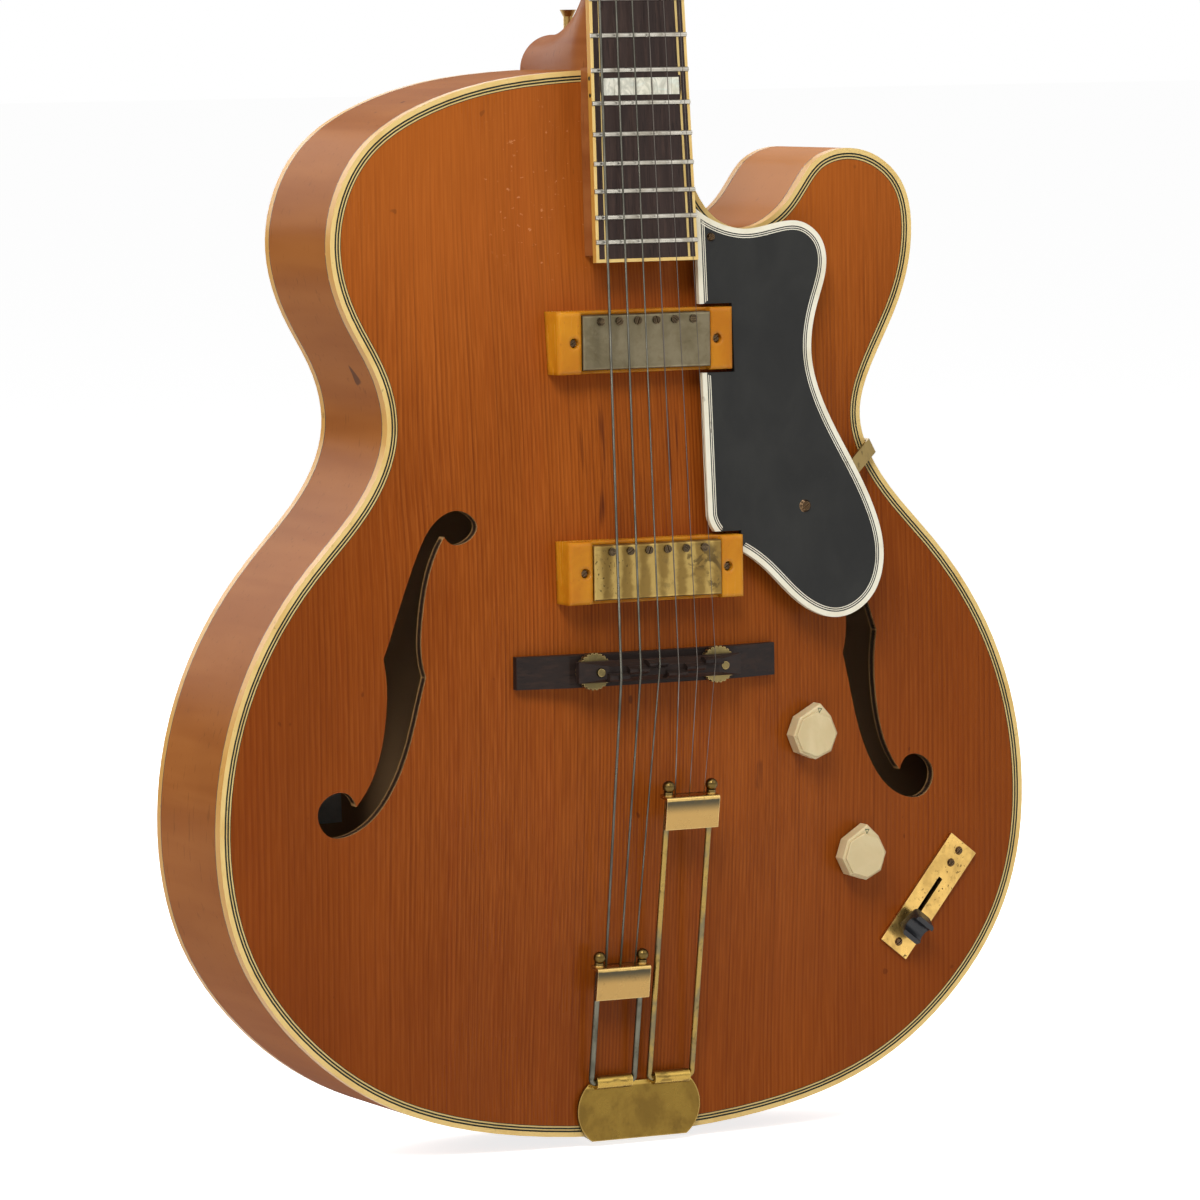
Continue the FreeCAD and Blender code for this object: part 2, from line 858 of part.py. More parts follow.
def frets():
    wires = []
    axis = Vector(0, 0, 1)
    centre = Vector(0, board_radius, 0)
    for number in range(1, fret_count + 1):
        z = nut_z - fret_distance(number)
        base = [Vector(0, 0, z - fret_width / 2), Vector(0, 0, z + fret_width / 2)]
        arc = Part.Arc(base[0], Vector(0, -fret_crown, z), base[1]).toShape()
        face = Part.Face(Part.Wire([arc, line(base[1], base[0])]))
        half = math.degrees(math.asin(board_width(z) / 2 / board_radius))
        face.rotate(centre, axis, -half)
        wires.append(face.revolve(centre, axis, 2 * half))
    return wires


def string_at_nut(number):
    gauge = bass_gauge * gauge_shares[number]
    x = nut_spread * string_share(number)
    return Vector(x, crown_drop(x) - nut_string_rise - gauge / 2, nut_z + nut_length / 2)


def nut():
    body = block(-nut_width / 2, nut_width / 2, -nut_rise, board_thickness, nut_z, nut_z + nut_length)
    body = body.common(crown(board_radius + nut_rise))
    for number in range(6):
        seat = string_at_nut(number)
        half = bass_gauge * gauge_shares[number] / 2 + fit_gap
        body = body.cut(block(seat.x - half, seat.x + half, -overrun, seat.y + half,
                              nut_z - overrun, nut_z + overrun))
        flare = half + nut_slot_flare
        ramp = block(-flare, flare, -overrun, half, 0, overrun)
        body = body.cut(place(ramp, Placement(seat, Rotation(Vector(1, 0, 0), -head_angle))))
    return body


def shaft_section(z, depth):
    half = board_width(z) / 2 - neck_side_step
    left = Vector(-half, board_thickness, z)
    right = Vector(half, board_thickness, z)
    arc = Part.Arc(left, Vector(0, board_thickness + depth, z), right).toShape()
    return Part.Wire([arc, line(right, left)])


def heel_section(y, half, rise):
    """Half an oval standing on the joint, at one depth."""
    turns = [math.pi * i / (heel_section_points - 1) for i in range(heel_section_points)]
    points = [Vector(-half * math.cos(turn), y, body_length + rise * math.sin(turn)) for turn in turns]
    return Part.Wire([curve_through(points).toShape(), line(points[-1], points[0])])


def heel():
    stations = [(front(0) + rim_depth * depth, heel_end_half_width * wide, heel_end_rise * rise)
                for depth, wide, rise in zip(heel_depth_shares, heel_width_shares, heel_rise_shares)]
    stations.append((rim_depth / 2 - heel_cap_thickness, heel_end_half_width, heel_end_rise))
    return Part.makeLoft([heel_section(*station) for station in stations], True, False)


def heel_cap():
    near = heel_section(rim_depth / 2 - heel_cap_thickness, heel_end_half_width, heel_end_rise)
    return Part.Face(near).extrude(Vector(0, heel_cap_thickness, 0))


def head_face():
    right = [Vector(nut_width / 2, 0, 0)]
    right += [Vector(head_width * across, 0, head_length * up) for across, up in head_side_shares]
    left = [Vector(-p.x, 0, p.z) for p in right]
    crest = Part.Arc(right[-1], Vector(0, 0, head_length), left[-1]).toShape()
    sides = [curve_through(right).toShape(), curve_through(left).toShape()]
    return Part.Face(wire_of(sides + [crest, line(left[0], right[0])]))


def post_spots():
    """Tuner posts in string order, lowest string first, with the side they stand on."""
    bass = [(-1, head_length * share) for share in post_height_shares]
    treble = [(1, head_length * share) for share in post_height_shares[::-1]]
    return bass + treble


def post_holes():
    return [rod(Vector(side * post_spread / 2, -overrun, z), Vector(side * post_spread / 2, overrun, z),
                bushing_radius + fit_gap) for side, z in post_spots()]


def headstock():
    head = slab(head_face(), 0, head_thickness)
    veneer = slab(head_face(), -veneer_thickness, 0)
    for hole in post_holes():
        head = head.cut(hole)
        veneer = veneer.cut(hole)
    return head, veneer


def truss_channel():
    return block(-truss_channel_width / 2, truss_channel_width / 2, board_thickness,
                 board_thickness + truss_channel_depth, board_end_z, nut_z - truss_end_step)


def truss_rod():
    low = board_end_z + tongue_end_step
    y = board_thickness + truss_rod_radius + fit_gap
    bar = rod(Vector(0, y, low), Vector(0, y, nut_z - truss_end_step - fit_gap), truss_rod_radius)
    end = place(hexagon(truss_nut_radius, truss_nut_length),
                Placement(Vector(0, board_thickness + truss_nut_radius + fit_gap, low), Rotation()))
    return bar.fuse(end)


def neck(head):
    shaft = Part.makeLoft([shaft_section(0, shaft_depth_body),
                           shaft_section(nut_z + nut_length, shaft_depth_nut)],
                          True, True)
    tongue = slab(board_trapezoid(board_end_z + tongue_end_step, fret_width, tongue_side_step),
                  board_thickness, tongue_depth)
    body_room = block(-overrun, overrun, front(seat_gap), rim_depth, body_length - overrun, body_length)
    wood = place(shaft, neck_frame).fuse(place(tongue, neck_frame).cut(seat_block))
    wood = wood.fuse(heel()).fuse(place(head, head_frame))
    wood = wood.cut(body_room).cut(place(truss_channel(), neck_frame))
    button_spot, up = heel_button_spot()
    wood = wood.cut(rod(button_spot + up * overrun, button_spot - up * (heel_button_seat + fit_gap),
                        heel_button_stem_radius + fit_gap))
    return wood.cut(screw_holes).removeSplitter()


# Strap buttons

def heel_button_spot():
    return Vector(0, front(0) + rim_depth * heel_button_depth_share,
                  body_length + heel_end_rise), Vector(0, 0, 1)


def strap_buttons():
    low = -fit_gap - tail_plate_thickness
    pin = rod(Vector(0, 0, low), Vector(0, 0, low - end_pin_height), end_pin_radius)
    pin = pin.fuse(rod(Vector(0, 0, low), Vector(0, 0, end_pin_stem_length), end_pin_stem_radius))
    spot, up = heel_button_spot()
    top = spot + up * heel_button_height
    stem = rod(spot - up * heel_button_seat, top, heel_button_stem_radius)
    head = Part.makeCone(heel_button_radius * heel_button_waist_share, heel_button_radius, heel_button_head,
                         top - up * heel_button_head, up)
    return [pin, stem.fuse(head).removeSplitter()]


# Pickguard

def guard_face(curve):
    ends = [curve.value(curve.LastParameter), curve.value(curve.FirstParameter)]
    return Part.Face(wire_of([curve.toShape(), line(*ends)]))


def guard_notches():
    half = surround_length / 2 + guard_pickup_gap
    wide = surround_width / 2 + guard_pickup_gap
    return [block(-half, half, -rim_depth, rim_depth, z - wide, z + wide)
            for z in (neck_pickup_height, bridge_pickup_height)]


def pickguard():
    edge = curve_through([guard_point(share) for share in guard_shares])
    full = place(slab(guard_face(edge), 0, guard_thickness), guard_frame)
    left = guard_left + guard_binding_width
    inside = block(left, left + guard_width, -overrun, overrun, -body_length, body_length)
    core = slab(guard_face(inset_curve(edge, -guard_binding_width)), -overrun, overrun).common(inside)
    core = place(core, guard_frame)
    for notch in guard_notches():
        full = full.cut(notch)
    full = full.cut(screw_holes)
    return full.common(core), full.cut(core)


def pickguard_bracket():
    """Strip from under the guard down over the edge of the rim, and the block beside the neck's tongue."""
    spot, along, reach = bracket_run()
    lean = math.tan(math.radians(neck_angle))
    under = spot.y + guard_thickness + 2 * fit_gap + lean * bracket_width / 2
    stops = [(-bracket_tail, under - bracket_tail * along.z * lean),
             (bracket_bend, under + bracket_bend * along.z * lean),
             (reach, front(bracket_edge_rise)), (reach, front(-bracket_leg))]
    path = Part.makePolygon([Vector(s, y, 0) for s, y in stops])
    inner = path.makeOffset2D(bracket_thickness, 0, True, True)
    if inner.CenterOfMass.y < path.CenterOfMass.y:
        inner = path.makeOffset2D(-bracket_thickness, 0, True, True)
    strip = inner.extrude(Vector(0, 0, bracket_width))
    strip.translate(Vector(0, 0, -bracket_width / 2))
    strap = place(strip, Placement(Vector(spot.x, 0, spot.z), Rotation(Vector(0, 1, 0), -bracket_angle)))
    corner = guard_point(guard_corner_screw_share)
    inside = board_width(corner.z + neck_pickup_height - body_length) / 2 - tongue_side_step + fit_gap
    wedge = block(inside, corner.x + guard_block_width / 2, guard_thickness + fit_gap,
                  guard_thickness + guard_block_depth, corner.z - guard_block_width / 2,
                  corner.z + guard_block_width / 2)
    return [strap.cut(screw_holes), place(wedge, guard_frame).cut(screw_holes).cut(clear_block)]


# Pickups

def pickups():
    surrounds = []
    covers = []
    coils = []
    poles = []
    for z, rise in ((neck_pickup_height, neck_pickup_rise), (bridge_pickup_height, bridge_pickup_rise)):
        surrounds.append(pickup_surround(z, rise))
        cover, coil, screws = pickup_unit(z, rise + cover_rise)
        covers.append(cover)
        coils.append(coil)
        poles += screws
    return surrounds, covers, coils, poles


def pickup_surround(z, rise):
    long = surround_length / 2
    wide = surround_width / 2
    inner = long - surround_block
    frame = block(-long, long, front(rise), front(0), z - wide, z + wide)
    tops = [e for e in frame.Edges if abs(e.CenterOfMass.y - front(rise)) < fit_gap]
    frame = frame.makeFillet(surround_fillet, tops)
    gap = block(-inner, inner, front(rise + overrun), front(rise - surround_lip_drop), z - wide, z + wide)
    room = block(-inner, inner, front(rise + overrun), front(-overrun), z - cover_width / 2 - fit_gap,
                 z + cover_width / 2 + fit_gap)
    for side in (-1, 1):
        spot = at_front(side * pickup_screw_spread / 2, z, rise - pickup_screw_recess)
        frame = frame.cut(rod(spot, spot - Vector(0, overrun, 0), screw_head_radius + run_gap))
    return frame.cut(gap).cut(room).cut(seat_block).cut(screw_holes)


def pickup_unit(z, rise):
    half = cover_length / 2
    wide = cover_width / 2
    cover = block(-half, half, front(rise), front(rise - cover_depth), z - wide, z + wide)
    tops = [e for e in cover.Edges if e.CenterOfMass.y < front(rise) + fit_gap]
    cover = cover.makeFillet(cover_fillet, tops)
    wall = cover_wall
    cover = cover.cut(block(-half + wall, half - wall, front(rise - wall), front(-overrun), z - wide + wall,
                            z + wide - wall))
    room = wall + fit_gap
    coil = block(-half + room, half - room, front(rise - room), front(rise - cover_depth - coil_foot),
                 z - wide + room,
                 z + wide - room)
    poles = []
    for number in range(6):
        spot = at_front(pole_spacing * 5 * string_share(number), z + wide - pole_edge, rise + pole_height)
        hole = rod(spot, spot + Vector(0, pole_length, 0), pole_radius + fit_gap)
        cover = cover.cut(hole)
        coil = coil.cut(hole)
        slot = driver_slot(spot, Vector(0, -1, 0), pole_radius, screw_slot_turn * number)
        poles.append(rod(spot, spot + Vector(0, pole_length, 0), pole_radius).cut(slot))
    return cover, coil, poles


# Bridge

def bridge_foot_top():
    return arch_height(0, bridge_z, top_arch) + bridge_foot_rise


def bridge_base():
    end = bridge_foot_length / 2
    flat = bridge_foot_plateau / 2
    top = front(bridge_foot_top())
    low = front(arch_height(end, bridge_z, top_arch) + bridge_foot_end)
    foot = front(0)
    slope = Part.BSplineCurve()
    slope.interpolate([Vector(-end, low, 0), Vector(-(end + flat) / 2, (top + low) / 2, 0),
                       Vector(-flat, top, 0)])
    other = slope.toShape().mirror(Vector(0, 0, 0), Vector(1, 0, 0))
    edges = [slope.toShape(), other, line(Vector(-flat, top, 0), Vector(flat, top, 0)),
             line(Vector(-end, low, 0), Vector(-end, foot, 0)),
             line(Vector(end, low, 0), Vector(end, foot, 0)),
             line(Vector(-end, foot, 0), Vector(end, foot, 0))]
    body = Part.Face(wire_of(edges)).extrude(Vector(0, 0, bridge_foot_width))
    body.translate(Vector(0, 0, bridge_z - bridge_foot_width / 2))
    for spot in bridge_post_spots():
        body = body.cut(rod(spot, spot + Vector(0, bridge_post_seat, 0), bridge_post_radius + fit_gap / 2))
    return body.cut(seat_block)


def bridge_post_spots():
    return [Vector(side * bridge_post_spread / 2, front(bridge_foot_top()), bridge_z) for side in (-1, 1)]


def saddle_floor():
    return bridge_foot_top() + thumbwheel_lift + thumbwheel_thickness + fit_gap


def bridge_posts():
    posts = []
    for spot in bridge_post_spots():
        tip = Vector(spot.x, front(saddle_floor() + saddle_end_height + bridge_post_tip), spot.z)
        posts.append(rod(spot + Vector(0, bridge_post_seat, 0), tip, bridge_post_radius))
    return posts


def thumbwheel(spot):
    """Knurled wheel that turns on a post and carries the saddle."""
    disc = tube(thumbwheel_radius, bridge_post_radius + run_gap, thumbwheel_thickness)
    for number in range(thumbwheel_knurls):
        angle = 2 * math.pi * number / thumbwheel_knurls
        notch = Part.makeCylinder(knurl_radius, thumbwheel_thickness,
                                  Vector(thumbwheel_radius * math.cos(angle),
                                         thumbwheel_radius * math.sin(angle), 0))
        disc = disc.cut(notch)
    return place(disc, Placement(spot + Vector(0, -thumbwheel_lift, 0), Rotation(Vector(1, 0, 0), 90)))


def string_at_saddle(number):
    gauge = bass_gauge * gauge_shares[number]
    x = saddle_spread * string_share(number)
    step = saddle_width * saddle_step_shares[number]
    return at_front(x, bridge_z + step, saddle_crest_height - crown_drop(x) + 2 * fit_gap + gauge / 2)


def bridge_saddle():
    half = saddle_length / 2
    floor = saddle_floor()
    shoulder = saddle_crest_height - saddle_rib_height
    crest = saddle_spread / 2 + saddle_crest_width
    points = [(-half, floor), (-half, floor + saddle_end_height), (-crest, shoulder - crown_drop(crest)),
              (0, shoulder),
              (crest, shoulder - crown_drop(crest)), (half, floor + saddle_end_height), (half, floor)]
    face = polygon_face([Vector(x, front(height), 0) for x, height in points])
    body = face.extrude(Vector(0, 0, saddle_width))
    body.translate(Vector(0, 0, bridge_z - saddle_width / 2))
    relief = bridge_post_spread / 2 - thumbwheel_radius - run_gap
    body = body.cut(block(-relief, relief, front(floor + saddle_relief), front(0), bridge_z - saddle_width,
                          bridge_z + saddle_width))
    for side in (-1, 1):
        edge = bridge_z + side * saddle_width / 2
        wedge = polygon_face([Vector(-half, front(shoulder), edge),
                              Vector(-half, front(shoulder), edge - side * saddle_bevel),
                              Vector(-half, front(floor + saddle_end_height), edge)])
        body = body.cut(wedge.extrude(Vector(saddle_length, 0, 0)))
    reach = saddle_spread / 5 / 2
    crowned = Part.makeCylinder(board_radius, saddle_width, at_front(0, bridge_z - saddle_width / 2,
                                                                    saddle_crest_height - board_radius))
    low = front(shoulder - saddle_rib_height)
    side = saddle_crest_width / 2
    edge = saddle_edge_width / 2
    profile = [(-side, low), (-side, front(shoulder)), (-edge, front(saddle_crest_height)),
               (edge, front(saddle_crest_height)), (side, front(shoulder)), (side, low)]
    for number in range(6):
        seat = string_at_saddle(number)
        rib = polygon_face([Vector(seat.x - reach, y, seat.z + z) for z, y in profile])
        body = body.fuse(rib.extrude(Vector(2 * reach, 0, 0)).common(crowned))
    for spot in bridge_post_spots():
        body = body.cut(rod(spot, spot - Vector(0, overrun, 0), bridge_post_radius + run_gap))
    return body.removeSplitter()


# Tailpiece

def rod_places(side):
    """X of the two rods of one trapeze."""
    return side * rod_inner, side * (rod_inner + rod_spread)


def roll_middle(side):
    return side * (rod_inner + rod_spread / 2)


def tailpiece_plate():
    half = tail_plate_width / 2
    top = tail_plate_top_width / 2
    fold = tail_plate_fold_width / 2
    low = -fit_gap - tail_plate_thickness
    middle = tail_plate_height / 2
    right = Part.Arc(Vector(fold, 0, low), Vector(half, 0, middle),
                     Vector(top, 0, tail_plate_height)).toShape()
    left = Part.Arc(Vector(-fold, 0, low), Vector(-half, 0, middle),
                    Vector(-top, 0, tail_plate_height)).toShape()
    edges = [right, left, line(Vector(-fold, 0, low), Vector(fold, 0, low)),
             line(Vector(-top, 0, tail_plate_height), Vector(top, 0, tail_plate_height))]
    lift = tail_plate_lift
    plate = slab(Part.Face(wire_of(edges)), front(lift + tail_plate_thickness), front(lift))
    near = front(lift + tail_plate_thickness)
    end = tail_flange_end_width / 2
    flange = polygon_face([Vector(-fold, near, low), Vector(fold, near, low),
                           Vector(end, near + tail_flange_length, low),
                           Vector(-end, near + tail_flange_length,
                                  low)]).extrude(Vector(0, 0, tail_plate_thickness))
    body = plate.fuse(flange).cut(tail_bore())
    for side in (-1, 1):
        start = Vector(roll_middle(side) - roll_length / 2, front(hinge_rise), hinge_height)
        end_point = start + Vector(roll_length, 0, 0)
        body = body.fuse(rod(start, end_point, roll_radius))
        body = body.cut(rod(start - Vector(overrun, 0, 0), end_point + Vector(overrun, 0, 0),
                            rod_radius + run_gap))
    return body.cut(screw_holes).removeSplitter()


def trapeze(side, reach):
    near, far = rod_places(side)
    points = [Vector(near, 0, reach + rod_tip), Vector(near, 0, 0), Vector(far, 0, 0),
              Vector(far, 0, reach + rod_tip)]
    return place(cord(points, rod_radius, rod_bend_radius), trapeze_frame())


def string_bar(side, reach):
    middle = roll_middle(side)
    left = middle - bar_width / 2
    right = middle + bar_width / 2
    wall = block(left, right, -bar_front_step - bar_wall, -bar_front_step, reach - bar_height, reach)
    cap = block(left, right, -bar_front_step - bar_wall, -bar_front_step - bar_wall + bar_top_depth,
                reach - bar_wall, reach)
    body = wall.fuse(cap).removeSplitter()
    edge = [e for e in body.Edges if abs(e.CenterOfMass.z - reach) < fit_gap
            and abs(e.CenterOfMass.y + bar_front_step + bar_wall) < fit_gap]
    body = body.makeFillet(bar_fillet, edge)
    pieces = []
    for x in rod_places(side):
        body = body.cut(rod(Vector(x, 0, reach - overrun), Vector(x, 0, reach + overrun),
                            rod_radius + fit_gap))
        collar = rod(Vector(x, 0, reach), Vector(x, 0, reach + bar_nut_base), bar_nut_collar)
        ball = Part.makeSphere(bar_nut_radius,
                               Vector(x, 0, reach + bar_nut_base + bar_nut_radius * bar_ball_share))
        bore = rod(Vector(x, 0, reach - overrun), Vector(x, 0, reach + rod_tip + fit_gap),
                   rod_radius + fit_gap)
        pieces.append(collar.fuse(ball).cut(bore).removeSplitter())
    return [place(piece, trapeze_frame()) for piece in [body] + pieces]


# Controls

def knob_profile():
    points = regular_polygon(knob_sides, knob_radius)
    tip = math.radians(90 + knob_pointer_turn)
    points[2] = Vector(knob_pointer * math.cos(tip), knob_pointer * math.sin(tip), 0)
    return points


def knob(x, z, turn):
    """Octagonal pointer knob with its shaft; the knob's own frame has its axis along z."""
    floor = arch_height(x, z, top_arch) + knob_lift
    face = polygon_face(knob_profile())
    body = face.extrude(Vector(0, 0, knob_height))
    rims = [e for e in body.Edges if abs(e.CenterOfMass.z - knob_height) < fit_gap]
    body = body.makeChamfer(knob_bevel, rims)
    body = body.cut(Part.makeCylinder(knob_shaft_radius + fit_gap / 2, knob_shaft_engage + fit_gap))
    reach = knob_lift + top_thickness + pot_top_step
    shaft = Part.makeCylinder(knob_shaft_radius, reach + knob_shaft_engage, Vector(0, 0, -reach))
    frame = Placement(at_front(x, z, floor), Rotation(Vector(1, 0, 0), 90))
    frame = frame.multiply(turn_about(Vector(0, 0, 1), turn))
    return [place(body, frame), place(shaft, frame)]


def potentiometer(x, z):
    """Pot under the top, its threaded bushing through it, and the nut on the outside."""
    surface = arch_height(x, z, top_arch)
    top = surface - top_thickness - pot_top_step
    nut_top = surface + pot_nut_lift + pot_nut_height
    can = rod(at_front(x, z, top), at_front(x, z, top - pot_depth), pot_radius)
    neck_tube = rod(at_front(x, z, nut_top), at_front(x, z, top), pot_bushing_radius)
    bore = rod(at_front(x, z, nut_top + overrun), at_front(x, z, top - run_gap), knob_shaft_radius + run_gap)
    ring = hexagon(pot_nut_radius,
                   pot_nut_height).cut(Part.makeCylinder(pot_bushing_radius + fit_gap / 2, overrun))
    frame = Placement(at_front(x, z, surface + pot_nut_lift), Rotation(Vector(1, 0, 0), 90))
    return [can.fuse(neck_tube).cut(bore).removeSplitter(), place(ring, frame)]


def lever_slot_reach():
    rise = lever_pivot_depth + switch_plate_thickness + fit_gap
    swing = math.radians(lever_swing)
    return rise * math.tan(swing) + lever_width / 2 / math.cos(swing) + run_gap


def switch_plate():
    half = switch_plate_width / 2
    reach = switch_plate_length / 2
    plate = block(-half, half, -switch_plate_thickness - fit_gap, -fit_gap, -reach, reach)
    low = lever_pivot_step - lever_slot_reach()
    high = lever_pivot_step + lever_slot_reach()
    slot = block(-switch_slot_width / 2, switch_slot_width / 2, -overrun, overrun, low, high)
    return place(plate.cut(slot), switch_frame_place).cut(screw_holes)


def switch_frame():
    half = switch_frame_width / 2
    reach = switch_frame_length / 2
    near = top_thickness + fit_gap
    far = near + switch_frame_depth
    shell = block(-half, half, near, far, -reach, reach)
    inner = half - switch_frame_wall
    shell = shell.cut(block(-inner, inner, near - overrun, far - switch_frame_wall, -overrun, overrun))
    pin = rod(Vector(-half, lever_pivot_depth, lever_pivot_step),
              Vector(half, lever_pivot_depth, lever_pivot_step),
              lever_pin_radius)
    return place(shell.fuse(pin), switch_frame_place)


def lever_frame():
    spot = switch_frame_place.multVec(Vector(0, lever_pivot_depth, lever_pivot_step))
    return Placement(spot, switch_frame_place.Rotation).multiply(turn_about(Vector(1, 0, 0), lever_swing))


def selector_lever():
    half = lever_thickness / 2
    wide = lever_width / 2
    blade = block(-half, half, -lever_length, lever_tail, -wide, wide)
    hole = rod(Vector(-overrun, 0, 0), Vector(overrun, 0, 0), lever_pin_radius + fit_gap)
    return place(blade.cut(hole), lever_frame())


def selector_tip():
    """Moulded tip: a block with a hollow across its end for the finger, pushed on the blade."""
    half = tip_width / 2
    reach = tip_length / 2
    near = -lever_length + tip_seat
    far = -lever_length - tip_height
    body = block(-half, half, far, near, -reach, reach)
    body = body.makeFillet(tip_fillet,
                           [e for e in body.Edges if abs(e.Length - tip_height - tip_seat) < touch])
    body = body.cut(rod(Vector(-overrun, far, 0), Vector(overrun, far, 0), tip_hollow_radius))
    blade = lever_thickness / 2 + fit_gap / 2
    wide = lever_width / 2 + fit_gap / 2
    return place(body.cut(block(-blade, blade, -lever_length - fit_gap / 2, overrun, -wide, wide)),
                 lever_frame())


def output_jack():
    sleeve = tube(jack_sleeve_radius, jack_bore_radius, jack_outside + jack_inside)
    sleeve.translate(Vector(0, 0, -jack_inside))
    can = tube(jack_body_radius, jack_bore_radius, jack_body_length)
    can.translate(Vector(0, 0, -jack_inside - jack_body_length))
    flange = tube(jack_body_radius, jack_sleeve_radius, jack_inside - rim_thickness - jack_seat_gap)
    flange.translate(Vector(0, 0, -jack_inside))
    ring = hexagon(jack_nut_radius, jack_nut_height)
    ring = ring.cut(Part.makeCylinder(jack_sleeve_radius + fit_gap / 2, overrun))
    ring.translate(Vector(0, 0, fit_gap))
    body = sleeve.fuse(can).fuse(flange).removeSplitter()
    return [place(body, jack_frame), place(ring, jack_frame)]


# Tuners, drawn in the headstock's frame

def tuner_housing(side, z):
    x = side * post_spread / 2
    half = housing_width / 2
    reach = housing_length / 2
    near = head_thickness + fit_gap / 2
    far = head_thickness + housing_depth
    middle = z + housing_offset
    body = block(x - half, x + half, near, far, middle - reach, middle + reach)
    edges = [e for e in body.Edges if e.CenterOfMass.y > far - fit_gap]
    body = body.makeFillet(button_fillet, edges)
    body = body.cut(rod(Vector(x, 0, z), Vector(x, near + key_axis_depth + run_gap, z),
                        post_radius + run_gap))
    axis = Vector(x, near + key_axis_depth, z + key_axis_offset)
    inside = axis - Vector(side * (key_shaft_inset - half + run_gap), 0, 0)
    return body.cut(rod(inside, axis + Vector(side * overrun, 0, 0), key_shaft_radius + run_gap)).cut(
        place(screw_holes, head_frame.inverse()))


def tuner_bushing(side, z):
    x = side * post_spread / 2
    sleeve = rod(Vector(x, -veneer_thickness, z), Vector(x, head_thickness, z), bushing_radius)
    top = -veneer_thickness - fit_gap / 2
    flange = rod(Vector(x, top, z), Vector(x, top - bushing_flange_height, z), bushing_flange_radius)
    neck_ring = rod(Vector(x, top, z), Vector(x, -veneer_thickness, z), bushing_radius)
    bore = rod(Vector(x, -overrun, z), Vector(x, overrun, z), post_radius + run_gap)
    return sleeve.fuse(neck_ring).fuse(flange).cut(bore).removeSplitter()


def tuner_post(side, z):
    x = side * post_spread / 2
    low = Vector(x, head_thickness + key_axis_depth, z)
    top = Vector(x, -veneer_thickness - post_rise, z)
    body = rod(low, top, post_radius)
    waist_top = -veneer_thickness - post_rise + post_hole_step
    waist_low = -veneer_thickness - bushing_flange_height - run_gap
    ring = rod(Vector(x, waist_low, z), Vector(x, waist_top, z), post_radius * 2)
    ring = ring.cut(rod(Vector(x, waist_low, z), Vector(x, waist_top, z), post_waist_radius))
    hole_y = -veneer_thickness - post_rise + post_hole_step / 2
    hole = rod(Vector(x, hole_y, z - overrun), Vector(x, hole_y, z + overrun), post_hole_radius)
    return body.cut(ring).cut(hole)


def tuner_key(side, z):
    x = side * post_spread / 2
    half = housing_width / 2
    axis = Vector(x, head_thickness + fit_gap / 2 + key_axis_depth, z + key_axis_offset)
    start = axis - Vector(side * (key_shaft_inset - half), 0, 0)
    outer = side * (head_width / 2 + button_gap)
    stem = rod(start, Vector(outer + side * button_fillet, axis.y, axis.z), key_shaft_radius)
    near = axis.y - button_thickness / 2
    middle = outer + side * button_length / 2
    reach = (button_width - button_length) / 2
    ends = [Vector(middle, near, axis.z - reach), Vector(middle, near, axis.z + reach)]
    lobes = [Part.makeCylinder(button_length / 2, button_thickness, end, Vector(0, 1, 0)) for end in ends]
    waist = block(middle - button_length / 2, middle + button_length / 2, near, near + button_thickness,
                  ends[0].z, ends[1].z)
    paddle = lobes[0].fuse(lobes[1]).fuse(waist).removeSplitter()
    faces = [near, near + button_thickness]
    rims = [e for e in paddle.Edges if min(abs(e.CenterOfMass.y - y) for y in faces) < touch]
    return stem.fuse(paddle.makeFillet(button_fillet, rims)).removeSplitter()


# Strings

def string_route(number):
    """Tailpiece bar, saddle, nut and tuner post."""
    side = -1 if number < 3 else 1
    reach = bass_bar_reach if side < 0 else treble_bar_reach
    place_in_bar = number % 3 - 1
    tail = trapeze_frame().multVec(Vector(roll_middle(side) + bar_string_spacing * place_in_bar, 0,
                                          reach + fit_gap))
    post_side, post_z = post_spots()[number]
    gauge = bass_gauge * gauge_shares[number]
    inner = post_side * (post_spread / 2 - post_waist_radius - gauge / 2 - run_gap)
    end = head_frame.multVec(Vector(inner, -veneer_thickness - string_post_height, post_z))
    return [tail, string_at_saddle(number), neck_frame.multVec(string_at_nut(number)), end]


def strings(numbers):
    return [cord(string_route(number), bass_gauge * gauge_shares[number] / 2, string_bend_radius)
            for number in numbers]


def solids_of(shape):
    return shape if isinstance(shape, list) else [shape]


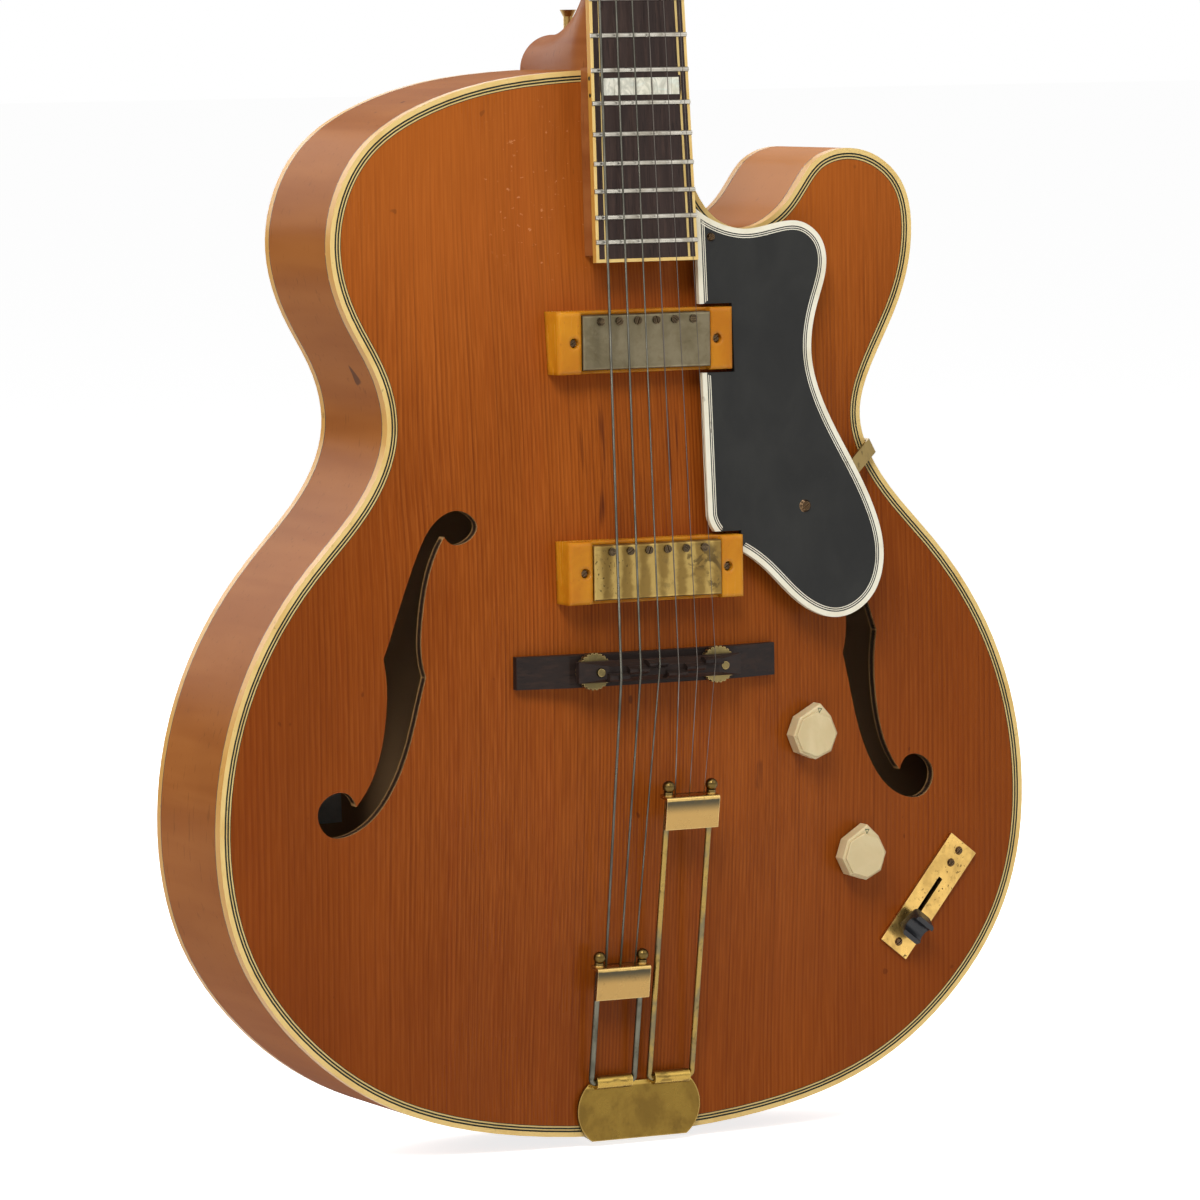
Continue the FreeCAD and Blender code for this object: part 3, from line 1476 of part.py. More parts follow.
def build():
    board, board_binding, markers = fingerboard()
    head, veneer = headstock()
    guard, guard_binding = pickguard()
    surrounds, covers, coils, poles = pickups()
    blocks = end_blocks()
    wheels = [thumbwheel(spot) for spot in bridge_post_spots()]
    nodes = {
        "top_plate": top_plate(),
        "back_plate": back_plate(),
        "rim": rim(),
        "linings": linings(blocks),
        "end_blocks": blocks,
        "tone_bars": tone_bars(),
        "body_binding": body_binding(),
        "neck": neck(head),
        "heel_cap": heel_cap(),
        "truss_rod": place(truss_rod(), neck_frame),
        "fingerboard": place(board, neck_frame),
        "fingerboard_binding": place(board_binding, neck_frame),
        "frets": [place(wire, neck_frame) for wire in frets()],
        "fret_markers": [place(marker, neck_frame) for marker in markers],
        "nut": place(nut(), neck_frame),
        "headstock_veneer": place(veneer, head_frame),
        "strap_buttons": strap_buttons(),
        "pickguard": guard,
        "pickguard_binding": guard_binding.Solids,
        "pickguard_bracket": pickguard_bracket(),
        "pickup_surrounds": surrounds,
        "pickup_covers": covers,
        "pickup_coils": coils,
        "pole_screws": poles,
        "bridge_base": bridge_base(),
        "bridge_posts": bridge_posts(),
        "thumbwheel_bass": wheels[0],
        "thumbwheel_treble": wheels[1],
        "bridge_saddle": bridge_saddle(),
        "tailpiece_plate": tailpiece_plate(),
        "bass_trapeze": trapeze(-1, bass_bar_reach),
        "bass_string_bar": string_bar(-1, bass_bar_reach),
        "treble_trapeze": trapeze(1, treble_bar_reach),
        "treble_string_bar": string_bar(1, treble_bar_reach),
        "volume_knob": knob(volume_knob_x, volume_knob_z, 0),
        "tone_knob": knob(tone_knob_x, tone_knob_z, tone_knob_turn),
        "potentiometers": potentiometer(volume_knob_x, volume_knob_z) + potentiometer(tone_knob_x,
                                                                                      tone_knob_z),
        "switch_plate": switch_plate(),
        "switch_frame": switch_frame(),
        "selector_lever": selector_lever(),
        "selector_tip": selector_tip(),
        "output_jack": output_jack(),
        "bass_strings": strings(range(3)),
        "treble_strings": strings(range(3, 6)),
        "screws": [screw(*spot) for spot in screw_spots],
    }
    spots = post_spots()
    nodes["tuner_housings"] = [place(tuner_housing(*spot), head_frame) for spot in spots]
    nodes["tuner_bushings"] = [place(tuner_bushing(*spot), head_frame) for spot in spots]
    for number, spot in enumerate(spots, 1):
        nodes["tuner_key_%d" % number] = place(tuner_key(*spot), head_frame)
        nodes["tuner_post_%d" % number] = place(tuner_post(*spot), head_frame)
    return nodes


os.makedirs("parts", exist_ok=True)
for name, shape in build().items():
    pieces = solids_of(shape)
    whole = pieces[0] if len(pieces) == 1 else Part.makeCompound(pieces)
    whole.exportStep("parts/%s.step" % name)
    print(name, "solids", len(whole.Solids), "valid", whole.isValid(), "volume %.0f" % whole.Volume)
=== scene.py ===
import math
import bmesh
import bpy
from mathutils import Matrix, Vector
from mathutils.bvhtree import BVHTree


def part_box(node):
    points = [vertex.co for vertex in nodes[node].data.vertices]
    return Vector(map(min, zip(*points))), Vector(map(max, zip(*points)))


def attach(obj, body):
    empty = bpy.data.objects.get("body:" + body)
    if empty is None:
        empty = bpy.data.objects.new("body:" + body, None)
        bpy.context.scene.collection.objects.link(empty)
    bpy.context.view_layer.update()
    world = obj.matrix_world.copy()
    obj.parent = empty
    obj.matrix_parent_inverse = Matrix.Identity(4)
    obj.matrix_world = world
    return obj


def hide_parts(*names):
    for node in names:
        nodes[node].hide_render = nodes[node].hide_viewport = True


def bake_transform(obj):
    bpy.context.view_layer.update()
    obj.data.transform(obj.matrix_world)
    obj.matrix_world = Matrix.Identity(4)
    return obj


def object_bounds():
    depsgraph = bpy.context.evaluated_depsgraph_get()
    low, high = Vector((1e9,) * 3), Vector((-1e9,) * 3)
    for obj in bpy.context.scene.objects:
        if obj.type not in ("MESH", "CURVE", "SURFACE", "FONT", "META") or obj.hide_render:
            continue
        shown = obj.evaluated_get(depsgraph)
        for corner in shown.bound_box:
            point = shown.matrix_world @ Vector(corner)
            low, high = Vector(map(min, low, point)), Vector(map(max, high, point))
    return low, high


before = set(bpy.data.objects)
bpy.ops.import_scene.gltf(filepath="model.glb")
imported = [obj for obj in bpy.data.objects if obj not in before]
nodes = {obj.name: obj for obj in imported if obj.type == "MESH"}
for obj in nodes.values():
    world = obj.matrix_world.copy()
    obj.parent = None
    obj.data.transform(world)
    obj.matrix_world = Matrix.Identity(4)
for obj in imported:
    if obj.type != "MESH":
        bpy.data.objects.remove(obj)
cad_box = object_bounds()
scene = bpy.context.scene

# Archtop guitar. Metres, in the frame of the solids: X to the treble side, Y to the back, Z up the neck.
MM = 0.001


# Materials. Tones are linear red, green and blue; noise scales are per metre along X, Y and Z.

MIX_FIRST, MIX_SECOND, MIX_RESULT = 6, 7, 2  # sockets of a mix node that mixes colours
SPOT_CORE = 0.35  # squared share of a spot's radius where it starts to fade
EDGE_TURN, FLAT_TURN = 0.86, 0.98  # how far the rounded and plain normals agree at an edge, and clear of it
EDGE_SAMPLES, ROUNDING_SAMPLES = 4, 6


class Finish:
    """A procedural material built around one Principled shader; constants go straight on its sockets."""

    def __init__(self, name, **constants):
        self.material = bpy.data.materials.new(name)
        self.material.use_nodes = True
        self.tree = self.material.node_tree
        self.shader = self.tree.nodes["Principled BSDF"]
        for socket, value in constants.items():
            self.shader.inputs[socket.replace("_", " ")].default_value = value
        coordinates = self.node("ShaderNodeTexCoord")
        self.place = coordinates.outputs["Object"]
        self.facing = coordinates.outputs["Normal"]

    def node(self, kind, **settings):
        made = self.tree.nodes.new(kind)
        for key, value in settings.items():
            setattr(made, key, value)
        return made

    def put(self, socket, value):
        if isinstance(value, bpy.types.NodeSocket):
            self.tree.links.new(value, socket)
        elif isinstance(value, tuple) and len(value) == 3 and socket.type == "RGBA":
            socket.default_value = (*value, 1)
        else:
            socket.default_value = value

    def math(self, operation, *values):
        made = self.node("ShaderNodeMath", operation=operation)
        for socket, value in zip(made.inputs, values):
            self.put(socket, value)
        return made.outputs[0]

    def axes(self, vector=None):
        made = self.node("ShaderNodeSeparateXYZ")
        self.put(made.inputs[0], vector or self.place)
        return made.outputs

    def vector(self, x, y, z):
        made = self.node("ShaderNodeCombineXYZ")
        for socket, value in zip(made.inputs, (x, y, z)):
            self.put(socket, value)
        return made.outputs[0]

    def noise(self, scales, detail=3.0, rough=0.55, distortion=0.0, place=None):
        """Noise with its own scale along each axis."""
        mapping = self.node("ShaderNodeMapping")
        self.put(mapping.inputs["Vector"], place or self.place)
        mapping.inputs["Scale"].default_value = scales
        made = self.node("ShaderNodeTexNoise")
        self.put(made.inputs["Vector"], mapping.outputs[0])
        made.inputs["Scale"].default_value = 1
        made.inputs["Detail"].default_value = detail
        made.inputs["Roughness"].default_value = rough
        made.inputs["Distortion"].default_value = distortion
        return made.outputs[0]

    def reach(self, value, low, high, start=0.0, end=1.0):
        """Value carried smoothly from low..high to start..end."""
        made = self.node("ShaderNodeMapRange", interpolation_type="SMOOTHSTEP")
        for socket, number in zip(made.inputs, (value, low, high, start, end)):
            self.put(socket, number)
        return made.outputs[0]

    def patches(self, scales, low, high, **noise):
        """Noise sharpened into patches: 0 up to low, 1 from high."""
        return self.reach(self.noise(scales, **noise), low, high)

    def hashed(self, value):
        """A number from 0 to 1 that differs from one whole value to the next."""
        made = self.node("ShaderNodeTexWhiteNoise", noise_dimensions="1D")
        self.put(made.inputs["W"], value)
        return made.outputs["Value"]

    def mix(self, share, first, second):
        made = self.node("ShaderNodeMix", data_type="RGBA")
        self.put(made.inputs[0], share)
        self.put(made.inputs[MIX_FIRST], first)
        self.put(made.inputs[MIX_SECOND], second)
        return made.outputs[MIX_RESULT]

    def laid(self, body, tone, share, strength):
        """Body with a tone laid over it, by a share of a strength."""
        return self.mix(self.math("MULTIPLY", share, strength), body, tone)

    def spot(self, x, z, width, height):
        """1 inside an upright soft oval on the front, given in millimetres, fading to 0."""
        across, _, up = self.axes()
        u = self.math("DIVIDE", self.math("SUBTRACT", across, x * MM), width * MM)
        v = self.math("DIVIDE", self.math("SUBTRACT", up, z * MM), height * MM)
        square = self.math("ADD", self.math("MULTIPLY", u, u), self.math("MULTIPLY", v, v))
        return self.reach(square, SPOT_CORE, 1.0, 1.0, 0.0)

    def rounded(self, radius, samples):
        """Normal with the edges rounded off to a radius."""
        made = self.node("ShaderNodeBevel", samples=samples)
        made.inputs["Radius"].default_value = radius
        return made.outputs[0]

    def edges(self, radius):
        """1 along sharp edges, within about a radius of them."""
        plain = self.node("ShaderNodeNewGeometry")
        turn = self.node("ShaderNodeVectorMath", operation="DOT_PRODUCT")
        self.put(turn.inputs[0], self.rounded(radius, EDGE_SAMPLES))
        self.put(turn.inputs[1], plain.outputs["Normal"])
        return self.reach(turn.outputs["Value"], EDGE_TURN, FLAT_TURN, 1.0, 0.0)

    def colour(self, value):
        self.put(self.shader.inputs["Base Color"], value)

    def rough(self, value):
        self.put(self.shader.inputs["Roughness"], value)

    def bump(self, height, strength, distance, rounding=0.0):
        """Relief, over edges rounded off to a radius."""
        made = self.node("ShaderNodeBump")
        if rounding:
            self.put(made.inputs["Normal"], self.rounded(rounding, ROUNDING_SAMPLES))
        made.inputs["Strength"].default_value = strength
        made.inputs["Distance"].default_value = distance
        self.put(made.inputs["Height"], height)
        self.put(self.shader.inputs["Normal"], made.outputs[0])


SPRUCE = {
    "dark": (0.198, 0.042, 0.0036),
    "light": (0.298, 0.069, 0.0066),
    "stripe": (0.235, 0.045, 0.005),
    "fibre": (0.47, 0.135, 0.020),
    "ring": (0.090, 0.015, 0.002),
    "worn": (0.07, 0.014, 0.004),
    "nick": (0.06, 0.014, 0.004),
    "scuff": (0.62, 0.27, 0.11),
    "painted_shade": (0.15, 0.028, 0.002),
    "painted_light": (0.47, 0.13, 0.020),
    "inside": (0.50, 0.32, 0.15),
    "wall": (0.022, 0.012, 0.008),
    "cut_edge": (0.52, 0.28, 0.11),
}
RING_SWAY = 0.010
RINGS_PER_METRE = 540.0
RING_WIDENING = 575.0
# Middle, then half width and half height, in millimetres
WORN_SPOTS = ((-27, 338, 16, 36), (16, 335, 13, 34), (-8, 318, 20, 18), (66, 178, 4, 9))
SCUFFED_SPOT = (-42, 478, 46, 55)
HOLE_EDGE = 3.4 * MM


def spruce_rings(f):
    """Distance from the middle joint, and how strong a ring's dark line is there."""
    bend = f.math("SUBTRACT", f.noise((3.5, 0.6, 1.6), detail=2.0), 0.5)
    side = f.math("ABSOLUTE", f.math("MULTIPLY_ADD", bend, RING_SWAY, f.axes()[0]))
    squared = f.math("MULTIPLY", side, side)
    phase = f.math("SUBTRACT", f.math("MULTIPLY", side, RINGS_PER_METRE),
                   f.math("MULTIPLY", squared, RING_WIDENING))
    ring = f.math("FRACT", phase)
    rise = f.reach(ring, 0.25, 0.86)
    fall = f.reach(ring, 0.9, 1.0, 1.0, 0.0)
    weight = f.math("MULTIPLY_ADD", f.hashed(f.math("FLOOR", phase)), 0.6, 0.4)
    line = f.math("MULTIPLY", f.math("MULTIPLY", rise, fall), weight)
    breaks = f.patches((160.0, 4.0, 14.0), 0.28, 0.62, detail=4.0)
    return side, f.math("MULTIPLY", line, f.math("MULTIPLY_ADD", breaks, 0.55, 0.45))


def spruce():
    """Aged spruce, bookmatched: rings close together at the joint and wider towards the edges."""
    f = Finish("spruce", Specular_IOR_Level=0.06, Coat_Weight=0.02, Coat_Roughness=0.16)
    _, _, z = f.axes()
    side, line = spruce_rings(f)
    patch = f.noise((9.0, 2.0, 2.4), detail=4.0, rough=0.6)
    body = f.mix(f.reach(patch, 0.34, 0.68), SPRUCE["dark"], SPRUCE["light"])
    stripe = f.noise((46.0, 1.0, 0.9), detail=2.0)
    body = f.mix(f.reach(stripe, 0.52, 0.7, 0.0, 0.4), body, SPRUCE["stripe"])
    fibre = f.noise((1500.0, 60.0, 42.0), detail=2.0)
    body = f.mix(f.reach(fibre, 0.35, 0.7, 0.0, 0.28), body, SPRUCE["fibre"])
    body = f.laid(body, SPRUCE["ring"], line, f.reach(z, 0.40, 0.47, 0.62, 0.36))

    streak = f.patches((330.0, 8.0, 14.0), 0.55, 0.68, detail=3.0)
    for spot in WORN_SPOTS:
        body = f.laid(body, SPRUCE["worn"], f.math("MULTIPLY", f.spot(*spot), streak), 0.72)
    nick = f.patches((150.0, 40.0, 95.0), 0.775, 0.81, detail=1.0)
    body = f.laid(body, SPRUCE["nick"], nick, 0.6)
    scuff = f.patches((240.0, 60.0, 330.0), 0.66, 0.74, detail=3.0)
    scuff = f.math("MULTIPLY", scuff, f.spot(*SCUFFED_SPOT))
    body = f.laid(body, SPRUCE["scuff"], scuff, 0.55)

    # Painted shade: the sides of the lower top darkened.
    low_sides = f.math("MULTIPLY", f.reach(side, 0.05, 0.2), f.reach(z, 0.27, 0.43, 1.0, 0.0))
    body = f.laid(body, SPRUCE["painted_shade"], low_sides, 0.55)
    # Painted light: the upper top lightened.
    body = f.mix(f.reach(z, 0.33, 0.5, 0.0, 0.30), body, SPRUCE["painted_light"])
    # Painted shade: darker towards the bottom.
    body = f.mix(f.reach(z, 0.05, 0.17, 0.32, 0.0), body, SPRUCE["painted_shade"])
    _, backward, _ = f.axes(f.facing)
    body = f.mix(f.reach(backward, 0.3, 0.6), body, SPRUCE["inside"])
    # Painted shade: the walls of the f-holes dark, with the lighter cut wood kept along their edges.
    wall = f.reach(f.math("ABSOLUTE", backward), 0.25, 0.5, 1.0, 0.0)
    body = f.mix(wall, body, f.mix(f.edges(HOLE_EDGE), SPRUCE["wall"], SPRUCE["cut_edge"]))
    f.colour(body)
    smear = f.noise((14.0, 14.0, 9.0), detail=4.0)
    f.rough(f.math("MULTIPLY_ADD", line, 0.05, f.reach(smear, 0.3, 0.75, 0.24, 0.42)))
    height = f.math("SUBTRACT", f.math("MULTIPLY", scuff, -0.8), f.math("MULTIPLY", line, 0.5))
    f.bump(height, 0.12, 0.0002)
    return f.material


MAPLE_NICK = (0.05, 0.016, 0.006)
MAPLE_INSIDE = (0.52, 0.31, 0.15)
RIM_FOOT_SHADE = (0.235, 0.060, 0.006)
RIM_HORN_LIGHT = (0.56, 0.255, 0.10)
BOOK_SLOPE = -0.42


def maple(name, light, dark, flame, flame_place):
    """Lacquered figured maple: soft bands across the grain, fine pores along it."""
    f = Finish(name, Specular_IOR_Level=0.0, Coat_Weight=0.11, Coat_Roughness=0.3)
    x, y, z = f.axes()
    place = f.place
    if flame_place == "book":
        side = f.math("ABSOLUTE", x)
        place = f.vector(side, y, f.math("MULTIPLY_ADD", side, BOOK_SLOPE, z))
    bands = f.noise(flame, detail=2.5, rough=0.5, distortion=0.35, place=place)
    body = f.mix(f.reach(bands, 0.30, 0.70), dark, light)
    cloud = f.noise((8.0, 8.0, 6.0), detail=4.0, rough=0.6)
    body = f.mix(f.reach(cloud, 0.42, 0.75, 0.0, 0.32), body, tuple(0.72 * c for c in dark))
    pores = f.patches((620.0, 420.0, 60.0), 0.62, 0.72, detail=2.0)
    body = f.laid(body, tuple(0.35 * c for c in dark), pores, 0.3)
    nick = f.patches((62.0, 62.0, 40.0), 0.765, 0.80, detail=1.0)
    body = f.laid(body, MAPLE_NICK, nick, 0.75)
    if flame_place == "book":
        _, backward, _ = f.axes(f.facing)
        body = f.mix(f.reach(backward, -0.6, -0.3, 1.0, 0.0), body, MAPLE_INSIDE)
    if flame_place == "rim":
        # Painted shade: the rim darker towards its foot.
        body = f.mix(f.reach(z, 0.02, 0.20, 0.5, 0.0), body, RIM_FOOT_SHADE)
        # Painted light: the rim lighter round the horn.
        horn_light = f.math("MULTIPLY", f.reach(x, 0.06, 0.10), f.reach(z, 0.40, 0.46, 0.0, 0.5))
        body = f.mix(horn_light, body, RIM_HORN_LIGHT)
    f.colour(body)
    f.rough(f.reach(f.noise((16.0, 16.0, 11.0), detail=4.0), 0.3, 0.75, 0.22, 0.38))
    f.bump(f.math("MULTIPLY", bands, 0.5), 0.05, 0.0004)
    return f.material


def raw_wood(name, light, dark):
    f = Finish(name, Specular_IOR_Level=0.2)
    grain = f.noise((420.0, 420.0, 18.0), detail=4.0)
    f.colour(f.mix(f.reach(grain, 0.3, 0.7), dark, light))
    f.rough(f.reach(grain, 0.3, 0.7, 0.85, 0.68))
    f.bump(grain, 0.2, 0.0002)
    return f.material


PORE = (0.008, 0.005, 0.004)


def rosewood(name, grain, tones):
    """Oiled dark rosewood, with streaks and open pores along the grain."""
    f = Finish(name, Specular_IOR_Level=0.14)
    dark, middle, light = tones
    broad = f.noise(tuple(0.16 * g for g in grain), detail=3.0, distortion=0.4)
    fine = f.noise(grain, detail=4.0, rough=0.65)
    body = f.mix(f.reach(broad, 0.32, 0.7), dark, middle)
    body = f.mix(f.reach(fine, 0.45, 0.72, 0.0, 0.55), body, light)
    pores = f.patches(tuple(1.8 * g for g in grain), 0.6, 0.7, detail=2.0)
    f.colour(f.laid(body, PORE, pores, 0.6))
    f.rough(f.reach(fine, 0.3, 0.7, 0.36, 0.55))
    f.bump(f.math("MULTIPLY", pores, -1.0), 0.35, 0.0002)
    return f.material


DIRT = (0.10, 0.055, 0.018)


def celluloid(name, face, side, stain):
    """Aged binding: lighter cream where it faces the front, darker amber round the sides, with a little dirt.
    """
    f = Finish(name, Specular_IOR_Level=0.04, Coat_Weight=0.06, Coat_Roughness=0.2)
    _, backward, _ = f.axes(f.facing)
    body = f.mix(f.reach(f.math("ABSOLUTE", backward), 0.45, 0.9), side, face)
    cloud = f.noise((55.0, 55.0, 40.0), detail=4.0, rough=0.6)
    body = f.mix(f.reach(cloud, 0.44, 0.72, 0.0, 0.55), body, stain)
    dirt = f.patches((210.0, 210.0, 160.0), 0.66, 0.76, detail=3.0)
    f.colour(f.laid(body, DIRT, dirt, 0.45))
    f.rough(f.reach(cloud, 0.3, 0.75, 0.26, 0.42))
    f.bump(cloud, 0.05, 0.0003)
    return f.material


def plastic(name, tones, roughness, gloss, specks=0.25, speck_tone=(0.02, 0.015, 0.01), subsurface=0.0,
            rounding=0.0):
    """Moulded plastic: clouded colour, fine scratches and a few specks of dirt."""
    f = Finish(name, Specular_IOR_Level=gloss, Subsurface_Weight=subsurface, Subsurface_Scale=2 * MM)
    cloud = f.noise((38.0, 38.0, 24.0), detail=4.0, rough=0.6, distortion=0.5)
    body = f.mix(f.reach(cloud, 0.3, 0.72), *tones)
    speck = f.patches((520.0, 520.0, 520.0), 0.67, 0.74, detail=2.0)
    f.colour(f.laid(body, speck_tone, speck, specks))
    scratch = f.noise((900.0, 900.0, 35.0), detail=2.0)
    f.rough(f.math("MULTIPLY_ADD", f.reach(scratch, 0.5, 0.75), 0.1,
                   f.reach(cloud, 0.3, 0.7, roughness - 0.05, roughness + 0.05)))
    f.bump(scratch, 0.04, 0.0002, rounding)
    return f.material


PIT = (0.035, 0.022, 0.010)


def metal(name, bright, worn, tarnish, wear=0.45, pits=0.5, roughness=0.28, soil=0.6, edge=0.0,
          rubbed=(0.62, 0.44, 0.18)):
    """Plated metal worn through in patches, pitted and dulled, with its edges brightened: partly rubbed wear,
    partly a painted highlight.
    """
    f = Finish(name, Metallic=1.0)
    cloud = f.noise((70.0, 70.0, 55.0), detail=5.0, rough=0.62, distortion=0.3)
    body = f.mix(f.reach(cloud, wear, wear + 0.2), bright, worn)
    grime = f.patches((150.0, 150.0, 120.0), 0.56, 0.7, detail=5.0, rough=0.7)
    body = f.laid(body, tarnish, grime, soil)
    pit = f.patches((640.0, 640.0, 640.0), 0.63, 0.7, detail=2.0)
    pit = f.math("MULTIPLY", pit, f.patches((42.0, 42.0, 42.0), 0.42, 0.62, detail=2.0))
    body = f.laid(body, PIT, pit, pits)
    # Edges brightened: partly rubbed wear, partly a painted highlight.
    if edge:
        body = f.laid(body, rubbed, f.edges(edge), 0.75)
    f.colour(body)
    lines = f.noise((300.0, 300.0, 300.0), detail=3.0)
    dull = f.reach(cloud, 0.3, 0.75, roughness - 0.07, roughness + 0.14)
    f.rough(f.math("MULTIPLY_ADD", grime, 0.2, f.math("MULTIPLY_ADD", lines, 0.08, dull)))
    f.bump(f.math("SUBTRACT", f.math("MULTIPLY", lines, 0.3), f.math("MULTIPLY", pit, 0.8)), 0.16, 0.0002)
    return f.material


BAR = {
    "nuts": (0.105, 0.068, 0.020),
    "fold": (0.52, 0.345, 0.115),
    # band: painted dark reflection under the fold
    "band": (0.060, 0.050, 0.030),
    "foot": (0.33, 0.205, 0.070),
    "grime": (0.10, 0.065, 0.026),
    "edge": (0.62, 0.46, 0.21),
}


def bar_metal(node):
    """Folded gold sheet, with a painted highlight on the fold at the top, a painted dark reflection band
    under it, then the reflection clearing towards the gold of the foot.
    """
    f = Finish(node, Metallic=1.0)
    low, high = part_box(node)
    _, _, z = f.axes()
    drop = f.math("DIVIDE", f.math("SUBTRACT", high.z, z), high.z - low.z)
    cloud = f.noise((90.0, 90.0, 60.0), detail=5.0, rough=0.6)
    drop = f.math("MULTIPLY_ADD", f.math("SUBTRACT", cloud, 0.5), 0.05, drop)
    # Painted reflection: a dark band clearing to gold towards the foot.
    body = f.mix(f.reach(drop, 0.44, 0.70), BAR["band"], BAR["foot"])
    # Painted highlight along the fold.
    body = f.mix(f.reach(drop, 0.385, 0.425, 1.0, 0.0), body, BAR["fold"])
    body = f.mix(f.reach(drop, 0.285, 0.30, 1.0, 0.0), body, BAR["nuts"])
    grime = f.patches((190.0, 190.0, 150.0), 0.58, 0.72, detail=5.0, rough=0.7)
    body = f.laid(body, BAR["grime"], grime, 0.45)
    # Edges brightened: partly rubbed wear, partly a painted highlight.
    body = f.laid(body, BAR["edge"], f.edges(0.7 * MM), f.reach(drop, 0.30, 0.32, 0.15, 0.6))
    f.colour(body)
    lines = f.noise((40.0, 500.0, 900.0), detail=3.0)
    f.rough(f.math("MULTIPLY_ADD", lines, 0.12, f.reach(cloud, 0.3, 0.7, 0.16, 0.3)))
    f.bump(lines, 0.06, 0.0002)
    return f.material


TAIL = {
    "bright": (0.180, 0.112, 0.023),
    "dull": (0.140, 0.084, 0.018),
    "grime": (0.075, 0.045, 0.014),
    "roll_highlight": (0.36, 0.235, 0.055),
    # stain: painted dark reflection streaks along the hinge rolls
    "stain": (0.12, 0.075, 0.02),
    "edge": (0.46, 0.32, 0.095),
}
ROLL_FADE, ROLL_FULL = 7.0 * MM, 6.0 * MM


def tail_metal():
    """Dull gold plate, with a painted highlight along the hinge rolls at its top."""
    f = Finish("gold_tail", Metallic=1.0)
    _, _, z = f.axes()
    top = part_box("tailpiece_plate")[1].z
    cloud = f.noise((70.0, 70.0, 55.0), detail=5.0, rough=0.62, distortion=0.3)
    body = f.mix(f.reach(cloud, 0.42, 0.64), TAIL["bright"], TAIL["dull"])
    grime = f.patches((150.0, 150.0, 120.0), 0.56, 0.7, detail=5.0, rough=0.7)
    body = f.laid(body, TAIL["grime"], grime, 0.35)
    # Painted highlight along the hinge rolls.
    roll_highlight = f.reach(z, top - ROLL_FADE, top - ROLL_FULL)
    body = f.mix(roll_highlight, body, TAIL["roll_highlight"])
    # Painted reflection: dark streaks along the rolls, breaking up their painted highlight.
    stain = f.patches((130.0, 130.0, 420.0), 0.52, 0.64, detail=4.0)
    body = f.laid(body, TAIL["stain"], roll_highlight, f.math("MULTIPLY", stain, 0.7))
    # Edges brightened: partly rubbed wear, partly a painted highlight.
    f.colour(f.laid(body, TAIL["edge"], f.edges(1.2 * MM), 0.8))
    lines = f.noise((120.0, 120.0, 700.0), detail=3.0)
    f.rough(f.math("MULTIPLY_ADD", lines, 0.1, f.reach(cloud, 0.3, 0.75, 0.2, 0.38)))
    f.bump(lines, 0.06, 0.0002)
    return f.material


COVER = {
    "nickel": (0.19, 0.158, 0.098),
    "dull_nickel": (0.125, 0.102, 0.058),
    "gold": (0.365, 0.250, 0.078),
    "worn_gold": (0.205, 0.128, 0.036),
    "stain": (0.085, 0.055, 0.022),
    "pit": (0.03, 0.02, 0.01),
    "grime": (0.10, 0.075, 0.035),
}
STRING_SPACING = 10.3 * MM
STAINED_SPOTS = ((24, 292, 12, 8), (31, 283, 5, 10))
PITTED_SPOT = (-27, 286, 14, 14)


def pickup_metal():
    """Dull nickel on the neck pickup, worn gold with rubbed bands under the strings on the bridge pickup."""
    f = Finish("pickup_cover", Metallic=1.0)
    x, _, z = f.axes()
    cloud = f.noise((58.0, 58.0, 58.0), detail=5.0, rough=0.65, distortion=0.4)
    nickel = f.mix(f.reach(cloud, 0.36, 0.68), COVER["nickel"], COVER["dull_nickel"])
    band = f.math("SINE", f.math("MULTIPLY", x, 2 * math.pi / STRING_SPACING))
    rubbed = f.math("MULTIPLY_ADD", band, 0.17, cloud)
    gold = f.mix(f.reach(rubbed, 0.34, 0.62), COVER["gold"], COVER["worn_gold"])
    blotch = f.patches((85.0, 85.0, 85.0), 0.5, 0.56, detail=4.0, distortion=1.2)
    for spot in STAINED_SPOTS:
        gold = f.laid(gold, COVER["stain"], f.math("MULTIPLY", blotch, f.spot(*spot)), 0.8)
    pit = f.patches((760.0, 760.0, 520.0), 0.62, 0.68, detail=2.0)
    gold = f.laid(gold, COVER["pit"], f.math("MULTIPLY", pit, f.spot(*PITTED_SPOT)), 0.85)
    body = f.mix(f.reach(z, 0.33, 0.35), gold, nickel)
    grime = f.patches((260.0, 260.0, 260.0), 0.55, 0.72, detail=4.0)
    f.colour(f.laid(body, COVER["grime"], grime, 0.28))
    f.rough(f.math("MULTIPLY_ADD", grime, 0.15, f.reach(cloud, 0.3, 0.7, 0.3, 0.46)))
    f.bump(cloud, 0.08, 0.0004)
    return f.material


PEARL = {
    "dark": (0.46, 0.45, 0.37),
    "light": (0.74, 0.71, 0.60),
    "tint": (0.62, 0.60, 0.42),
    "sheen": (0.58, 0.70, 0.66),
    "seam": (0.20, 0.18, 0.13),
}
SLIP_WIDTH = 10.6 * MM
SLIP_START = 0.42
SEAM_SHARE = 0.035


